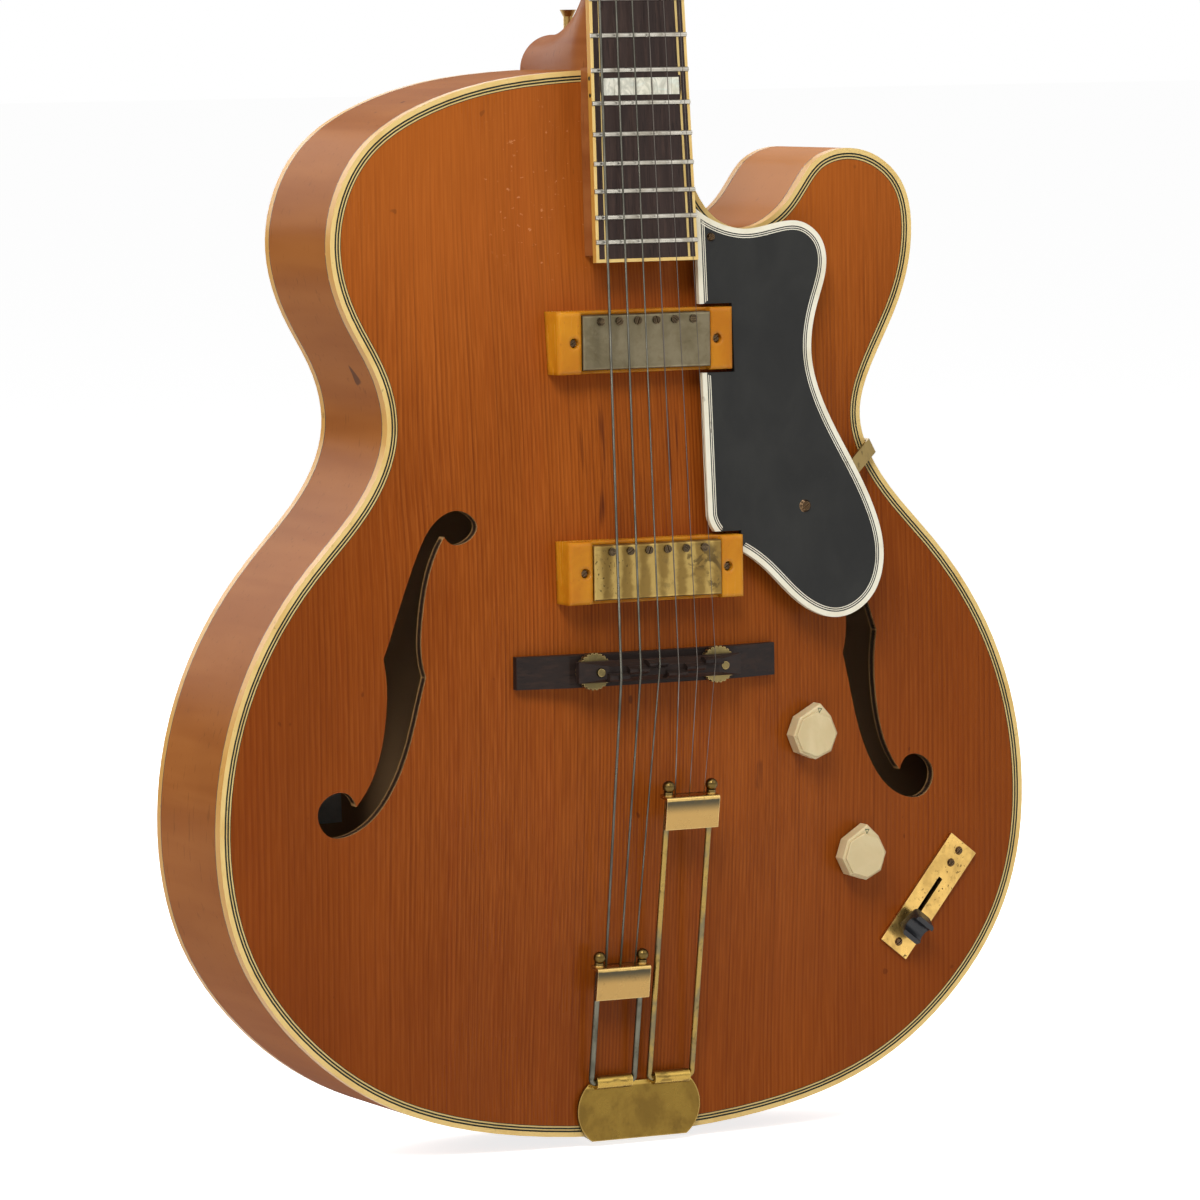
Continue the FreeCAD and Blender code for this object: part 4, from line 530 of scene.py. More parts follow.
def pearl():
    """Pearl slips laid edge to edge, each with its own tint and cloudy figure."""
    f = Finish("pearl", Specular_IOR_Level=0.4)
    slips = f.math("MULTIPLY_ADD", f.axes()[0], 1 / SLIP_WIDTH, SLIP_START)
    tint = f.hashed(f.math("FLOOR", slips))
    figure = f.noise((190.0, 190.0, 120.0), detail=4.0, distortion=2.4)
    body = f.mix(f.reach(figure, 0.3, 0.7), PEARL["dark"], PEARL["light"])
    body = f.laid(body, PEARL["tint"], tint, 0.4)
    sheen = f.patches((90.0, 90.0, 260.0), 0.5, 0.72, detail=2.0, distortion=1.5)
    body = f.laid(body, PEARL["sheen"], sheen, 0.3)
    seam = f.math("LESS_THAN", f.math("FRACT", slips), SEAM_SHARE)
    f.colour(f.laid(body, PEARL["seam"], seam, 0.55))
    f.rough(f.reach(figure, 0.3, 0.7, 0.18, 0.32))
    f.bump(figure, 0.03, 0.0003)
    return f.material


WRAP = 0.45 * MM


def string_metal(name, tone, wound):
    """Steel, plain or wrapped: the wrap is a fine ribbing along the string."""
    f = Finish(name, Metallic=1.0)
    cloud = f.noise((260.0, 260.0, 60.0), detail=3.0)
    f.colour(f.mix(f.reach(cloud, 0.32, 0.7), tone, tuple(0.6 * c for c in tone)))
    f.rough(f.reach(cloud, 0.3, 0.7, 0.26, 0.42))
    if wound:
        _, _, z = f.axes()
        ribs = f.math("SINE", f.math("MULTIPLY", z, 2 * math.pi / WRAP))
        f.bump(ribs, 0.5, 0.0001)
    else:
        f.bump(cloud, 0.05, 0.0001)
    return f.material


def paper():
    f = Finish("paper")
    cloud = f.noise((90.0, 90.0, 90.0), detail=5.0)
    f.colour(f.mix(f.reach(cloud, 0.3, 0.7), (0.52, 0.55, 0.53), (0.68, 0.70, 0.66)))
    f.rough(f.reach(cloud, 0.3, 0.7, 0.8, 0.92))
    f.bump(cloud, 0.1, 0.0002)
    return f.material


GOLD = ((0.40, 0.25, 0.068), (0.26, 0.16, 0.048), (0.08, 0.05, 0.018))
NICKEL = ((0.26, 0.235, 0.185), (0.17, 0.15, 0.11), (0.06, 0.05, 0.035))
MAPLE = ((0.305, 0.102, 0.0195), (0.255, 0.077, 0.0120))
NECK_MAPLE = ((0.322, 0.115, 0.033), (0.244, 0.074, 0.0185))

spruce_finish = spruce()
rim_finish = maple("maple_rim", *MAPLE, flame=(62.0, 7.0, 62.0), flame_place="rim")
back_finish = maple("maple_back", *MAPLE, flame=(9.0, 9.0, 95.0), flame_place="book")
neck_finish = maple("maple_neck", *NECK_MAPLE, flame=(12.0, 12.0, 85.0), flame_place="plain")
inner_finish = raw_wood("inner_wood", (0.48, 0.31, 0.15), (0.34, 0.20, 0.09))
board_finish = rosewood("rosewood_board", (700.0, 700.0, 26.0),
                        ((0.021, 0.013, 0.011), (0.036, 0.022, 0.018), (0.060, 0.036, 0.028)))
bridge_finish = rosewood("rosewood_bridge", (26.0, 500.0, 500.0),
                         ((0.012, 0.0075, 0.0062), (0.020, 0.012, 0.009), (0.036, 0.020, 0.014)))
binding_finish = celluloid("binding", (0.70, 0.50, 0.19), (0.50, 0.25, 0.045), (0.56, 0.33, 0.085))
guard_binding_finish = celluloid("guard_binding", (0.76, 0.72, 0.58), (0.66, 0.60, 0.44), (0.62, 0.55, 0.38))
bone_finish = celluloid("nut_bone", (0.70, 0.60, 0.40), (0.62, 0.50, 0.30), (0.52, 0.40, 0.22))
line_light_finish = celluloid("line_light", (0.58, 0.43, 0.17), (0.52, 0.33, 0.09), (0.45, 0.28, 0.08))
line_white_finish = celluloid("line_white", (0.74, 0.70, 0.57), (0.66, 0.60, 0.44), (0.60, 0.54, 0.38))
line_dark_finish = plastic("line_dark", ((0.008, 0.010, 0.006), (0.016, 0.020, 0.011)), 0.4, 0.15)
guard_finish = plastic("guard_black", ((0.017, 0.017, 0.016), (0.023, 0.023, 0.021)), 0.42, 0.16, specks=0.08,
                       speck_tone=(0.06, 0.055, 0.05))
black_finish = plastic("black_plastic", ((0.007, 0.007, 0.008), (0.014, 0.015, 0.018)), 0.3, 0.35)
veneer_finish = plastic("veneer_black", ((0.008, 0.008, 0.008), (0.014, 0.013, 0.012)), 0.24, 0.4,
                        specks=0.05)
amber_finish = plastic("amber_plastic", ((0.43, 0.145, 0.006), (0.57, 0.235, 0.012)), 0.2, 0.16, specks=0.15,
                       speck_tone=(0.12, 0.04, 0.01), subsurface=0.12, rounding=3.2 * MM)
cream_finish = plastic("cream_plastic", ((0.56, 0.44, 0.235), (0.66, 0.545, 0.32)), 0.34, 0.25, specks=0.12,
                       speck_tone=(0.30, 0.21, 0.10), subsurface=0.08, rounding=0.5 * MM)
mark_finish = plastic("mark_green", ((0.018, 0.045, 0.020), (0.03, 0.06, 0.03)), 0.45, 0.2)
pearl_finish = pearl()
paper_finish = paper()
# Metals given an edge radius get their edges brightened: partly rubbed wear, partly a painted highlight.
gold_finish = metal("gold", *GOLD)
plate_finish = metal("gold_plate", (0.59, 0.375, 0.110), (0.44, 0.275, 0.080), (0.10, 0.06, 0.02), pits=0.95,
                     soil=0.3, roughness=0.26, edge=0.4 * MM)
tail_finish = tail_metal()
bass_bar_finish = bar_metal("bass_string_bar")
treble_bar_finish = bar_metal("treble_string_bar")
rod_finish = metal("gold_rod", (0.27, 0.18, 0.050), (0.15, 0.122, 0.066), (0.08, 0.058, 0.028), wear=0.44,
                   pits=0.3)
steel_rod_finish = metal("nickel_rod", (0.125, 0.120, 0.090), (0.075, 0.074, 0.055), (0.04, 0.036, 0.024))
fret_finish = metal("fret_metal", (0.40, 0.375, 0.32), (0.29, 0.265, 0.215), (0.12, 0.10, 0.07), pits=0.2,
                    roughness=0.26)
steel_finish = metal("steel", *NICKEL, roughness=0.32)
brass_finish = metal("brass", (0.34, 0.215, 0.07), (0.22, 0.14, 0.045), (0.07, 0.045, 0.02), roughness=0.3)
olive_finish = metal("olive_brass", (0.30, 0.205, 0.062), (0.20, 0.14, 0.046), (0.08, 0.055, 0.022),
                     roughness=0.34)
screw_finish = metal("screw_brass", (0.085, 0.052, 0.028), (0.045, 0.030, 0.018), (0.02, 0.015, 0.010),
                     roughness=0.2, edge=0.25 * MM, rubbed=(0.46, 0.28, 0.13))
pickup_finish = pickup_metal()
wound_finish = string_metal("string_wound", (0.105, 0.100, 0.080), True)
plain_finish = string_metal("string_plain", (0.15, 0.128, 0.110), False)
pole_finish = metal("pole_bronze", (0.075, 0.052, 0.030), (0.045, 0.032, 0.020), (0.02, 0.015, 0.01),
                    roughness=0.22, edge=0.3 * MM, rubbed=(0.36, 0.25, 0.13))
wheel_finish = metal("wheel_brass", (0.20, 0.150, 0.060), (0.13, 0.100, 0.042), (0.05, 0.038, 0.018),
                     pits=0.4, edge=0.5 * MM, roughness=0.36)

TUNERS = range(1, 7)
FINISHES = {
    spruce_finish: ("top_plate",),
    rim_finish: ("rim",),
    back_finish: ("back_plate",),
    neck_finish: ("neck", "heel_cap"),
    inner_finish: ("linings", "end_blocks", "tone_bars"),
    board_finish: ("fingerboard",),
    bridge_finish: ("bridge_base", "bridge_saddle"),
    binding_finish: ("body_binding", "fingerboard_binding"),
    guard_binding_finish: ("pickguard_binding",),
    bone_finish: ("nut",),
    guard_finish: ("pickguard",),
    black_finish: ("selector_tip", "pickup_coils"),
    veneer_finish: ("headstock_veneer",),
    amber_finish: ("pickup_surrounds",),
    cream_finish: ("volume_knob", "tone_knob"),
    pearl_finish: ("fret_markers",),
    gold_finish: ("tuner_housings", "tuner_bushings", *(f"tuner_key_{i}" for i in TUNERS),
                  *(f"tuner_post_{i}" for i in TUNERS)),
    wheel_finish: ("thumbwheel_bass", "thumbwheel_treble", "bridge_posts"),
    plate_finish: ("switch_plate",),
    tail_finish: ("tailpiece_plate",),
    bass_bar_finish: ("bass_string_bar",),
    treble_bar_finish: ("treble_string_bar",),
    rod_finish: ("treble_trapeze",),
    steel_rod_finish: ("bass_trapeze",),
    fret_finish: ("frets",),
    steel_finish: ("truss_rod", "potentiometers", "switch_frame", "selector_lever", "output_jack"),
    brass_finish: ("strap_buttons",),
    olive_finish: ("pickguard_bracket",),
    screw_finish: ("screws",),
    pole_finish: ("pole_screws",),
    pickup_finish: ("pickup_covers",),
}
for finish, members in FINISHES.items():
    for member in members:
        nodes[member].data.materials.clear()
        nodes[member].data.materials.append(finish)


# Pieces

FRONT = Vector((0, -1, 0))
BACK = Vector((0, 1, 0))
TREBLE = Vector((1, 0, 0))
GRID = 1e-6
FACE_SPREAD = 0.01
COPLANAR = 0.05 * MM
CORNER, NO_CORNER = 40, 170  # degrees: cuts a loop at its corners, or leaves it whole
AHEAD_OF_ALL, BASS_OF_NECK = -0.2, -0.1  # Y and X where rays start
PROUD = 0.05 * MM
SUNK = 0.15 * MM


def new_piece(name, mesh, finish):
    mesh.materials.append(finish)
    piece = bpy.data.objects.new(name, mesh)
    scene.collection.objects.link(piece)
    return piece


def add_piece(name, vertices, faces, finish, body):
    mesh = bpy.data.meshes.new(name)
    mesh.from_pydata(vertices, [], faces)
    mesh.validate()
    made = bmesh.new()
    made.from_mesh(mesh)
    bmesh.ops.recalc_face_normals(made, faces=made.faces)
    made.to_mesh(mesh)
    made.free()
    piece = new_piece(name, mesh, finish)
    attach(piece, body)


def tube_faces(first, second, count):
    """Sides between two rings of count corners, each given by its first corner."""
    following = [(i + 1) % count for i in range(count)]
    return [(first + i, first + j, second + j, second + i) for i, j in enumerate(following)]


def spread(low, high, count):
    """Ends of count even steps from low to high."""
    return [low + (high - low) * i / count for i in range(count + 1)]


def surface_of(node):
    mesh = nodes[node].data
    return BVHTree.FromPolygons([v.co for v in mesh.vertices], [p.vertices for p in mesh.polygons])


def front_of(tree, x, z):
    """Depth of the first surface met from the front at a place, or None."""
    hit = tree.ray_cast(Vector((x, AHEAD_OF_ALL, z)), BACK)[0]
    return None if hit is None else hit.y


def chain_length(chain):
    return sum((b - a).length for a, b in zip(chain, chain[1:]))


def enclosed(chain):
    """Twice the area inside a chain seen from the front; its sign tells which way the chain runs."""
    return sum(a.x * b.z - b.x * a.z for a, b in zip(chain, chain[1:] + chain[:1]))


def open_edges(node, normal, depth):
    """Outer edges of a node's flat faces that look along normal: the grid point that follows each one."""
    mesh = nodes[node].data
    keys = [tuple(round(c / GRID) for c in v.co) for v in mesh.vertices]
    found = {}
    for polygon in mesh.polygons:
        if (polygon.normal - normal).length > FACE_SPREAD:
            continue
        if depth is not None and abs(polygon.center.dot(normal) - depth) > COPLANAR:
            continue
        ring = [keys[i] for i in polygon.vertices]
        for a, b in zip(ring, ring[1:] + ring[:1]):
            if (b, a) in found:
                del found[(b, a)]
            else:
                found[(a, b)] = True
    return dict(found.keys())


def parted(loop, corner):
    """A loop cut at its sharp corners, or whole, with its start repeated at its end."""
    count = len(loop)
    cuts = []
    for i in range(count):
        before, after = loop[i] - loop[i - 1], loop[(i + 1) % count] - loop[i]
        if min(before.length, after.length) > GRID and before.angle(after) > math.radians(corner):
            cuts.append(i)
    if not cuts:
        return [loop + loop[:1]]
    return [[loop[i % count] for i in range(a, b + 1)] for a, b in zip(cuts, cuts[1:] + [cuts[0] + count])]


def face_chains(node, normal, depth=None, corner=CORNER):
    """Edge lines of a node's flat faces that look along normal, cut at sharp corners, the longest first."""
    follow = open_edges(node, normal, depth)
    chains = []
    while follow:
        start, point = follow.popitem()
        loop = [start]
        while point != start and point in follow:
            loop.append(point)
            point = follow.pop(point)
        chains += parted([Vector(c) * GRID for c in loop], corner)
    return sorted(chains, key=chain_length, reverse=True)


def resampled(chain, step):
    """Points at even steps along a chain."""
    count = max(2, round(chain_length(chain) / step))
    spacing = chain_length(chain) / count
    out = [chain[0].copy()]
    travelled = 0.0
    for a, b in zip(chain, chain[1:]):
        length = (b - a).length
        while len(out) <= count and travelled + length >= len(out) * spacing - GRID:
            share = (len(out) * spacing - travelled) / length if length else 0
            out.append(a + (b - a) * min(1, share))
        travelled += length
    return out


def sideways(chain, normal):
    """Direction across the chain at each of its points, in the plane of normal."""
    closed = (chain[0] - chain[-1]).length < GRID
    out = []
    last = len(chain) - 1
    for i in range(len(chain)):
        before = chain[i - 1] if i else (chain[-2] if closed else chain[0])
        after = chain[i + 1] if i < last else (chain[1] if closed else chain[-1])
        out.append((after - before).normalized().cross(normal).normalized())
    return out


def turn_of(chain, across, outward):
    """1 if the directions across a closed chain lead out of it, or into it, as asked, and else -1."""
    moved = [p + a * MM for p, a in zip(chain, across)]
    grows = abs(enclosed(moved)) > abs(enclosed(chain))
    return 1 if grows == outward else -1


def band_row(low, high, normal=FRONT):
    """Corners of a thin band from low to high on a face that looks along normal: two proud, two sunk."""
    up, down = normal * PROUD, normal * -SUNK
    return low + up, high + up, high + down, low + down


def ribbon(name, rows, finish):
    """Closed thin band through rows of four corners each."""
    vertices = [corner for row in rows for corner in row]
    count = len(vertices)
    faces = []
    for first in range(0, count - 4, 4):
        faces += tube_faces(first, first + 4, 4)
    if (rows[0][0] - rows[-1][0]).length > GRID:
        faces.append((0, 1, 2, 3))
        faces.append((count - 1, count - 2, count - 3, count - 4))
    add_piece(name, vertices, faces, finish, "guitar")


BINDING_FRONT = -39 * MM
BINDING_STEP = 2.5 * MM
# Distance of both edges from the binding, in millimetres
PURFLING = ((0.0, 0.85, line_dark_finish), (0.85, 1.45, line_light_finish), (1.45, 2.3, line_dark_finish),
            (2.3, 3.0, line_light_finish), (3.0, 3.3, line_dark_finish))


def add_purfling(edge):
    """Dark and light lines let into the top along its binding."""
    tree = surface_of("top_plate")
    across = sideways(edge, FRONT)
    inward = turn_of(edge, across, outward=False)
    for number, (start, end, finish) in enumerate(PURFLING, 1):
        rows = []
        for point, aside in zip(edge, across):
            corners = []
            for step in (start, end):
                spot = point + aside * (inward * step * MM)
                depth = front_of(tree, spot.x, spot.z)
                corners.append(Vector((spot.x, point.y if depth is None else depth, spot.z)))
            rows.append(band_row(*corners))
        ribbon(f"purfling_{number}", rows, finish)


# Depth of both edges, in millimetres
RIM_LINES = (("rim_line_front", -33.25, -32.75), ("rim_line_back", 33.75, 34.25))
RIM_LINE_PROUD = 0.04 * MM
RIM_LINE_SUNK = 0.4 * MM


def add_rim_lines(edge):
    """Dark line between the rim and each of its two bindings."""
    across = sideways(edge, FRONT)
    turn = turn_of(edge, across, outward=True)
    for name, low, high in RIM_LINES:
        rows = []
        for point, aside in zip(edge, across):
            near, far = point + aside * (turn * -RIM_LINE_SUNK), point + aside * (turn * RIM_LINE_PROUD)
            corners = ((far, low), (far, high), (near, high), (near, low))
            rows.append([Vector((p.x, y * MM, p.z)) for p, y in corners])
        ribbon(name, rows, line_dark_finish)


GUARD_STEP = 1.5 * MM
GUARD_LINES = ((0.6, 1.05), (1.6, 2.05))
BOUND_WITHIN = 0.4 * MM
SHORTEST_RUN = 4


def bound_runs(chain, across, tree):
    """Runs of a chain's points that lie along a surface, each with the direction across."""
    runs = [[]]
    for point, aside in zip(chain, across):
        if tree.find_nearest(point)[3] < BOUND_WITHIN:
            runs[-1].append((point, aside))
        elif runs[-1]:
            runs.append([])
    return [run for run in runs if len(run) > SHORTEST_RUN]


def add_guard_lines():
    """White lines in the pickguard, inside its binding."""
    faces = [p for p in nodes["pickguard"].data.polygons if p.normal.y < 0]
    normal = max(faces, key=lambda p: p.area).normal.copy()
    loop = resampled(face_chains("pickguard", normal, corner=NO_CORNER)[0], GUARD_STEP)
    across = sideways(loop, normal)
    inward = turn_of(loop, across, outward=False)
    runs = bound_runs(loop, across, surface_of("pickguard_binding"))
    for number, (start, end) in enumerate(GUARD_LINES, 1):
        for part, run in enumerate(runs, 1):
            rows = [band_row(p + a * (inward * start * MM), p + a * (inward * end * MM), normal)
                    for p, a in run]
            ribbon(f"guard_line_{number}_{part}", rows, line_white_finish)


BOARD_LINE_INSET = 5.2 * MM
BOARD_LINE_WIDTH = 1.25 * MM
BOARD_LINE_START = 2.0 * MM
BOARD_LINE_SHORTER = 2.6 * MM
BOARD_LINE_STEPS = 60


def add_board_lines():
    """Cream lines let into the fingerboard along both edges."""
    tree = surface_of("fingerboard")
    low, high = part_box("fingerboard_binding")
    length = high.z - low.z
    nut_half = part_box("nut")[1].x
    for name, side in (("board_line_bass", -1), ("board_line_treble", 1)):
        rows = []
        for step in range(BOARD_LINE_STEPS + 1):
            z = low.z + BOARD_LINE_START + (length - BOARD_LINE_SHORTER) * (step / BOARD_LINE_STEPS)
            half = high.x + (nut_half - high.x) * (z - low.z) / length
            corners = []
            for out in (-BOARD_LINE_WIDTH / 2, BOARD_LINE_WIDTH / 2):
                x = side * (half - BOARD_LINE_INSET + out)
                depth = front_of(tree, x, z)
                if depth is not None:
                    corners.append(Vector((x, depth, z)))
            if len(corners) == 2:
                rows.append(band_row(*corners))
        ribbon(name, rows, line_light_finish)


DOT_RADIUS = 1.1 * MM
DOT_CORNERS = 20
MARKER_GAP = 6 * MM
SIDE_DEPTHS = range(-75, -25)  # millimetres


def marker_heights():
    """Middle height of each marker, from the lowest up."""
    heights = sorted(v.co.z for v in nodes["fret_markers"].data.vertices)
    markers = [[heights[0]]]
    for z in heights[1:]:
        if z - markers[-1][-1] > MARKER_GAP:
            markers.append([])
        markers[-1].append(z)
    return [(marker[0] + marker[-1]) / 2 for marker in markers]


def add_side_dots():
    """Dark dots in the bass side of the fingerboard's binding, one level with each marker."""
    tree = surface_of("fingerboard_binding")
    nut_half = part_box("nut")[1].x
    ring = [2 * math.pi * i / DOT_CORNERS for i in range(DOT_CORNERS)]
    for number, z in enumerate(marker_heights(), 1):
        hits = [tree.ray_cast(Vector((BASS_OF_NECK, y * MM, z)), TREBLE)[0] for y in SIDE_DEPTHS]
        hits = [h for h in hits if h is not None and abs(h.x) > nut_half - MM]
        x, y = hits[0].x, (hits[0].y + hits[-1].y) / 2
        vertices = [Vector((x + step, y + DOT_RADIUS * math.cos(a), z + DOT_RADIUS * math.sin(a)))
                    for step in (-PROUD, 2 * SUNK) for a in ring]
        faces = [tuple(range(DOT_CORNERS)), tuple(reversed(range(DOT_CORNERS, 2 * DOT_CORNERS)))]
        faces += tube_faces(0, DOT_CORNERS, DOT_CORNERS)
        add_piece(f"side_dot_{number}", vertices, faces, line_dark_finish, "guitar")


LABEL_X, LABEL_Z = (-0.185, -0.125), (0.158, 0.198)
LABEL_ACROSS, LABEL_UP = 12, 8


def add_label():
    """Bare paper label inside the back, seen through the bass f-hole."""
    tree = surface_of("back_plate")
    places = []
    for z in spread(*LABEL_Z, LABEL_UP):
        for x in spread(*LABEL_X, LABEL_ACROSS):
            places.append(Vector((x, tree.ray_cast(Vector((x, 0, z)), BACK)[0].y, z)))
    vertices = [p + Vector((0, step, 0)) for step in (-SUNK, PROUD) for p in places]
    wide, count = LABEL_ACROSS + 1, len(places)
    faces = []
    for j in range(LABEL_UP):
        for i in range(LABEL_ACROSS):
            a = j * wide + i
            faces.append((a, a + 1, a + wide + 1, a + wide))
            faces.append((count + a, count + a + wide, count + a + wide + 1, count + a + 1))
    border = [*range(wide), *range(2 * wide - 1, count, wide), *range(count - 2, count - wide - 1, -1),
              *range(count - 2 * wide, 0, -wide)]
    for a, b in zip(border, border[1:] + border[:1]):
        faces.append((a, count + a, count + b, b))
    add_piece("label", vertices, faces, paper_finish, "guitar")


# Body, lean of the pointer and turn of the face, in degrees
KNOBS = (("volume_knob", "volume", 11.0, 0.0), ("tone_knob", "tone", 7.0, 4.0))
KNOB_RADIUS = 12.6 * MM
KNOB_SIDES = 8
# Millimetres: radius and depth of the face's rings, and places on the pointer across and along it
FACE_RINGS = ((11.3, 0.15), (11.3, -0.75), (11.0, -1.0))
MARK_CORNERS = ((-1.5, 13.5), (1.1, 13.5), (-0.2, 10.9))
MARK_MIDDLE = Vector((-0.2, 12.6))
MARK_OPENING = 0.6


def add_knob_face(name, body, lean, turn):
    """Octagonal face of a knob, standing above its pointer, and the small triangle on the pointer."""
    tree = surface_of(name)
    low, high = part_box(name)
    centre_x, centre_z = (low.x + high.x) / 2, low.z + KNOB_RADIUS
    face_y = front_of(tree, centre_x, centre_z)
    vertices = []
    for radius, step in FACE_RINGS:
        for i in range(KNOB_SIDES):
            angle = math.radians(turn) + 2 * math.pi * i / KNOB_SIDES
            vertices.append(Vector((centre_x + radius * MM * math.cos(angle), face_y + step * MM,
                                    centre_z + radius * MM * math.sin(angle))))
    faces = [tuple(range(2 * KNOB_SIDES, 3 * KNOB_SIDES)), tuple(reversed(range(KNOB_SIDES)))]
    for ring in (0, KNOB_SIDES):
        faces += tube_faces(ring, ring + KNOB_SIDES, KNOB_SIDES)
    add_piece(name + "_face", vertices, faces, cream_finish, body)

    ahead = Vector((math.sin(math.radians(lean)), 0, math.cos(math.radians(lean))))
    across = Vector((ahead.z, 0, -ahead.x))
    outline = []
    for grow in (1.0, MARK_OPENING):
        for corner in MARK_CORNERS:
            flat = MARK_MIDDLE + (Vector(corner) - MARK_MIDDLE) * grow
            outline.append(Vector((centre_x, 0, centre_z)) + across * (flat.x * MM) + ahead * (flat.y * MM))
    vertices = []
    for offset in (-PROUD, SUNK):
        for point in outline:
            depth = front_of(tree, point.x, point.z)
            vertices.append(Vector((point.x, (face_y if depth is None else depth) + offset, point.z)))
    sides = len(MARK_CORNERS)
    outer, inner, outer_sunk, inner_sunk = range(0, 4 * sides, sides)
    faces = []
    for rings in ((outer, inner), (outer_sunk, inner_sunk), (outer, outer_sunk), (inner, inner_sunk)):
        faces += tube_faces(*rings, sides)
    add_piece(name + "_mark", vertices, faces, mark_finish, body)


LENGTH_BENDS, TAIL_BENDS = 24, 8


def cut_at(made, z, **cleared):
    bmesh.ops.bisect_plane(made, geom=made.verts[:] + made.edges[:] + made.faces[:], plane_co=(0, 0, z),
                           plane_no=(0, 0, 1), **cleared)


def string_run(name, node, low, high, rings, finish):
    """The strings of a node between two heights, with rings where they can bend."""
    made = bmesh.new()
    made.from_mesh(nodes[node].data)
    bmesh.ops.remove_doubles(made, verts=made.verts, dist=GRID)
    if low is not None:
        cut_at(made, low, clear_inner=True)
    if high is not None:
        cut_at(made, high, clear_outer=True)
    for z in rings:
        cut_at(made, z)
    mesh = bpy.data.meshes.new(name)
    made.to_mesh(mesh)
    made.free()
    for polygon in mesh.polygons:
        polygon.use_smooth = True
    piece = new_piece(name, mesh, finish)
    return piece


def add_strings(side, node, finish):
    """The solids, cut where they cross the saddle and half way to the tailpiece, into three runs."""
    saddle_low, saddle_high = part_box("bridge_saddle")
    saddle_z = (saddle_low.z + saddle_high.z) / 2
    nut_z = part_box("nut")[0].z
    bar_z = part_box(f"{side}_string_bar")[1].z
    middle_z = (saddle_low.z + bar_z) / 2
    length_rings = spread(saddle_z, nut_z, LENGTH_BENDS)[1:-1]
    behind_rings = spread(middle_z, saddle_z, TAIL_BENDS)[1:-1]
    tail_rings = spread(bar_z, middle_z, TAIL_BENDS)[1:-1]
    runs = [string_run(f"{side}_string_length", node, saddle_z, None, length_rings, finish),
            string_run(f"{side}_string_behind", node, middle_z, saddle_z, behind_rings, finish),
            string_run(f"{side}_string_tail", node, None, middle_z, tail_rings, finish)]
    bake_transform(runs[0])
    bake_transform(runs[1])
    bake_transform(runs[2])
    for run in runs:
        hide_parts(node)


binding_edges = face_chains("body_binding", FRONT, depth=-BINDING_FRONT)[:2]
inner_edge, outer_edge = (resampled(c, BINDING_STEP) for c in sorted(binding_edges, key=chain_length))
add_purfling(inner_edge)
add_rim_lines(outer_edge)
add_guard_lines()
add_board_lines()
add_side_dots()
add_label()
for knob in KNOBS:
    add_knob_face(*knob)
add_strings("bass", "bass_strings", wound_finish)
add_strings("treble", "treble_strings", plain_finish)


# Stage: pale floor, soft studio light, the photograph's camera

# Place, aim, size and power
LIGHTS = {
    "key": ((-1.1, -1.7, 2.2), (0.0, 0.0, 0.5), 1.1, 54),
    "fill": ((1.4, -1.8, 1.7), (0.05, 0.0, 0.45), 1.5, 10),
    "side": ((-2.2, -0.5, 1.9), (0.0, 0.0, 0.3), 1.4, 14),
    "above": ((0.1, -0.3, 2.7), (0.0, 0.0, 0.4), 1.2, 16),
    "behind": ((1.2, 2.2, 1.9), (0.0, 0.0, 0.4), 1.8, 20),
    "behind_left": ((-0.5, 2.2, 1.2), (-0.1, 0.0, 0.35), 1.3, 32),
}
FLOOR_REACH = 40.0
FLOOR_TONE = (0.82, 0.82, 0.82, 1)
FLOOR_GLOW = 0.8
ROOM_TONE = (1, 1, 1, 1)
ROOM_LIGHT, ROOM_SEEN = 0.22, 1.0


def add_light(name, place, aim, size, power):
    lamp = bpy.data.lights.new(name, "AREA")
    lamp.size = size
    lamp.energy = power
    made = bpy.data.objects.new(name, lamp)
    made.location = place
    made.rotation_euler = (Vector(aim) - Vector(place)).to_track_quat("-Z", "Y").to_euler()
    scene.collection.objects.link(made)


def seen_directly(tree):
    """1 for rays from the camera, or by way of gloss or glass."""
    rays = tree.nodes.new("ShaderNodeLightPath")
    total = rays.outputs["Is Camera Ray"]
    for name in ("Is Glossy Ray", "Is Transmission Ray"):
        either = tree.nodes.new("ShaderNodeMath")
        either.operation = "MAXIMUM"
        tree.links.new(total, either.inputs[0])
        tree.links.new(rays.outputs[name], either.inputs[1])
        total = either.outputs[0]
    return total


def floor_finish():
    """Pale and dull, with a glow that only direct sight meets."""
    material = bpy.data.materials.new("floor")
    material.use_nodes = True
    tree = material.node_tree
    tree.nodes.clear()
    output = tree.nodes.new("ShaderNodeOutputMaterial")
    pale = tree.nodes.new("ShaderNodeBsdfDiffuse")
    pale.inputs["Color"].default_value = FLOOR_TONE
    glow = tree.nodes.new("ShaderNodeEmission")
    strength = tree.nodes.new("ShaderNodeMath")
    strength.operation = "MULTIPLY"
    strength.inputs[1].default_value = FLOOR_GLOW
    tree.links.new(seen_directly(tree), strength.inputs[0])
    tree.links.new(strength.outputs[0], glow.inputs["Strength"])
    both = tree.nodes.new("ShaderNodeAddShader")
    tree.links.new(pale.outputs[0], both.inputs[0])
    tree.links.new(glow.outputs[0], both.inputs[1])
    tree.links.new(both.outputs[0], output.inputs["Surface"])
    return material


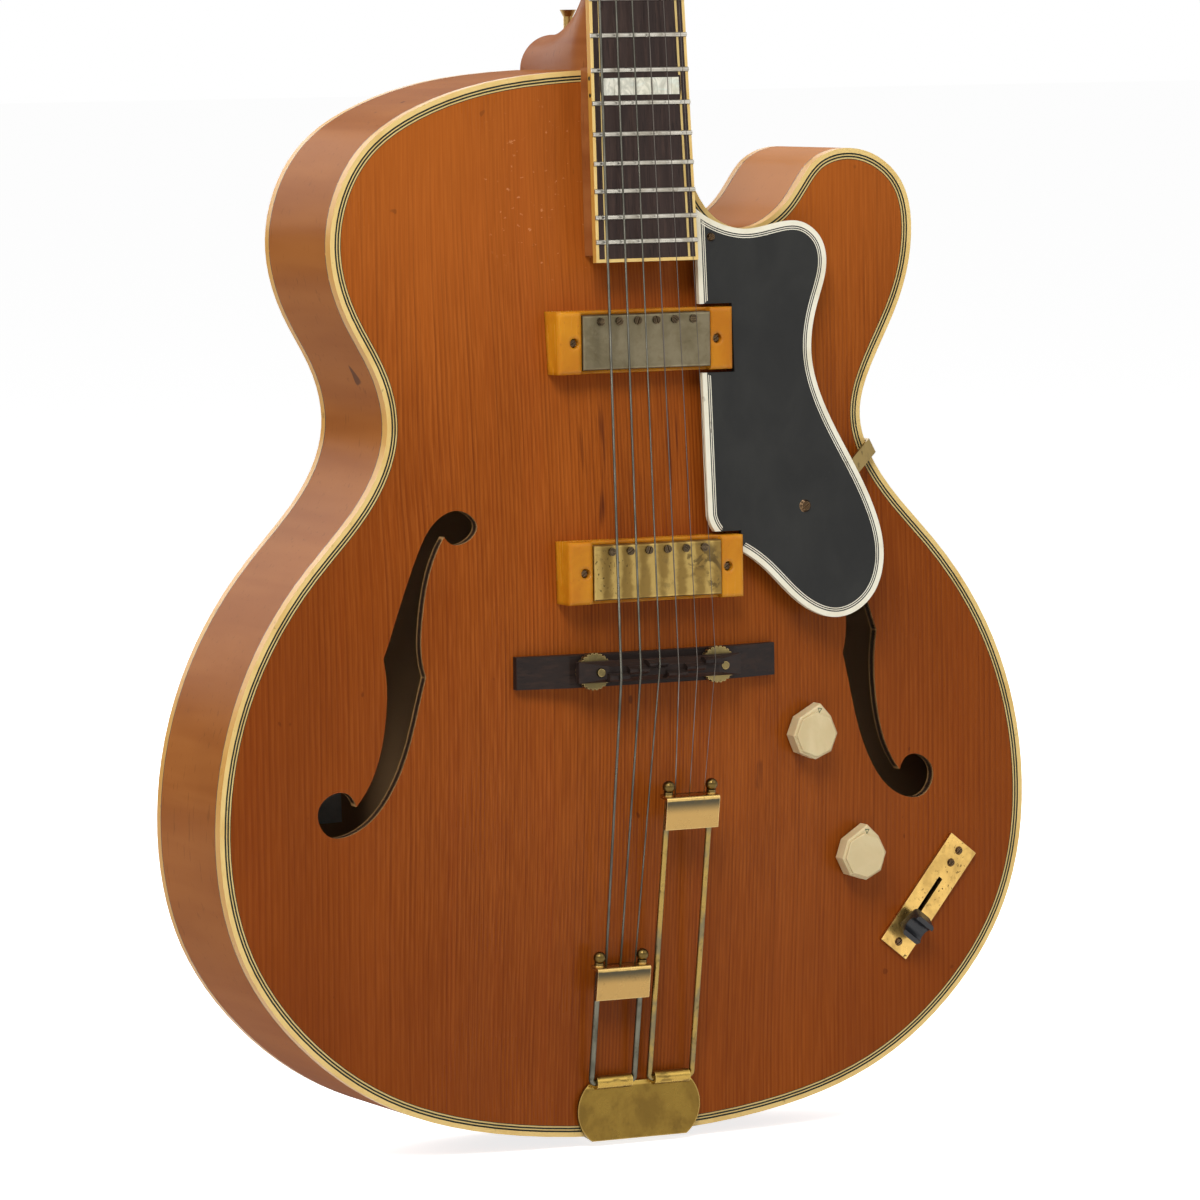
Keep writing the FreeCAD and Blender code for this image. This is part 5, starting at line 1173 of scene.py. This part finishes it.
def studio_room():
    """White to direct sight, a soft light to everything else."""
    world = bpy.data.worlds.new("studio")
    world.use_nodes = True
    tree = world.node_tree
    tree.nodes.clear()
    output = tree.nodes.new("ShaderNodeOutputWorld")
    room = tree.nodes.new("ShaderNodeBackground")
    room.inputs["Color"].default_value = ROOM_TONE
    level = tree.nodes.new("ShaderNodeMapRange")
    level.inputs["To Min"].default_value = ROOM_LIGHT
    level.inputs["To Max"].default_value = ROOM_SEEN
    tree.links.new(seen_directly(tree), level.inputs["Value"])
    tree.links.new(level.outputs[0], room.inputs["Strength"])
    tree.links.new(room.outputs[0], output.inputs["Surface"])
    return world


for name, settings in LIGHTS.items():
    add_light(name, *settings)

FLOOR_CORNERS = ((-1, -1), (1, -1), (1, 1), (-1, 1))
corners = [(x * FLOOR_REACH, y * FLOOR_REACH, cad_box[0].z) for x, y in FLOOR_CORNERS]
floor_mesh = bpy.data.meshes.new("floor")
floor_mesh.from_pydata(corners, [], [(0, 1, 2, 3)])
floor = new_piece("floor", floor_mesh, floor_finish())
scene.world = studio_room()

# Camera fitted to the photograph
YAW, PITCH, ROLL = (math.radians(a) for a in (26.645, -4.841, -0.783))
CAMERA_PLACE = (-1.5686, -3.1322, 0.5629)
FOCAL_PIXELS = 6972.7
PICTURE_PIXELS = 1200
SENSOR = 36
FARTHEST = 100
ahead = Vector((math.sin(YAW) * math.cos(PITCH), math.cos(YAW) * math.cos(PITCH), math.sin(PITCH)))
level_right = Vector((math.cos(YAW), -math.sin(YAW), 0))
level_up = level_right.cross(ahead)
right = math.cos(ROLL) * level_right + math.sin(ROLL) * level_up
up = -math.sin(ROLL) * level_right + math.cos(ROLL) * level_up
stand = Matrix((right, up, -ahead)).transposed().to_4x4()
stand.translation = Vector(CAMERA_PLACE)
lens = bpy.data.cameras.new("camera")
lens.sensor_width = SENSOR
lens.lens = FOCAL_PIXELS / PICTURE_PIXELS * SENSOR
lens.clip_end = FARTHEST
camera = bpy.data.objects.new("camera", lens)
camera.matrix_world = stand
scene.collection.objects.link(camera)
scene.camera = camera
scene.view_settings.view_transform = "Standard"
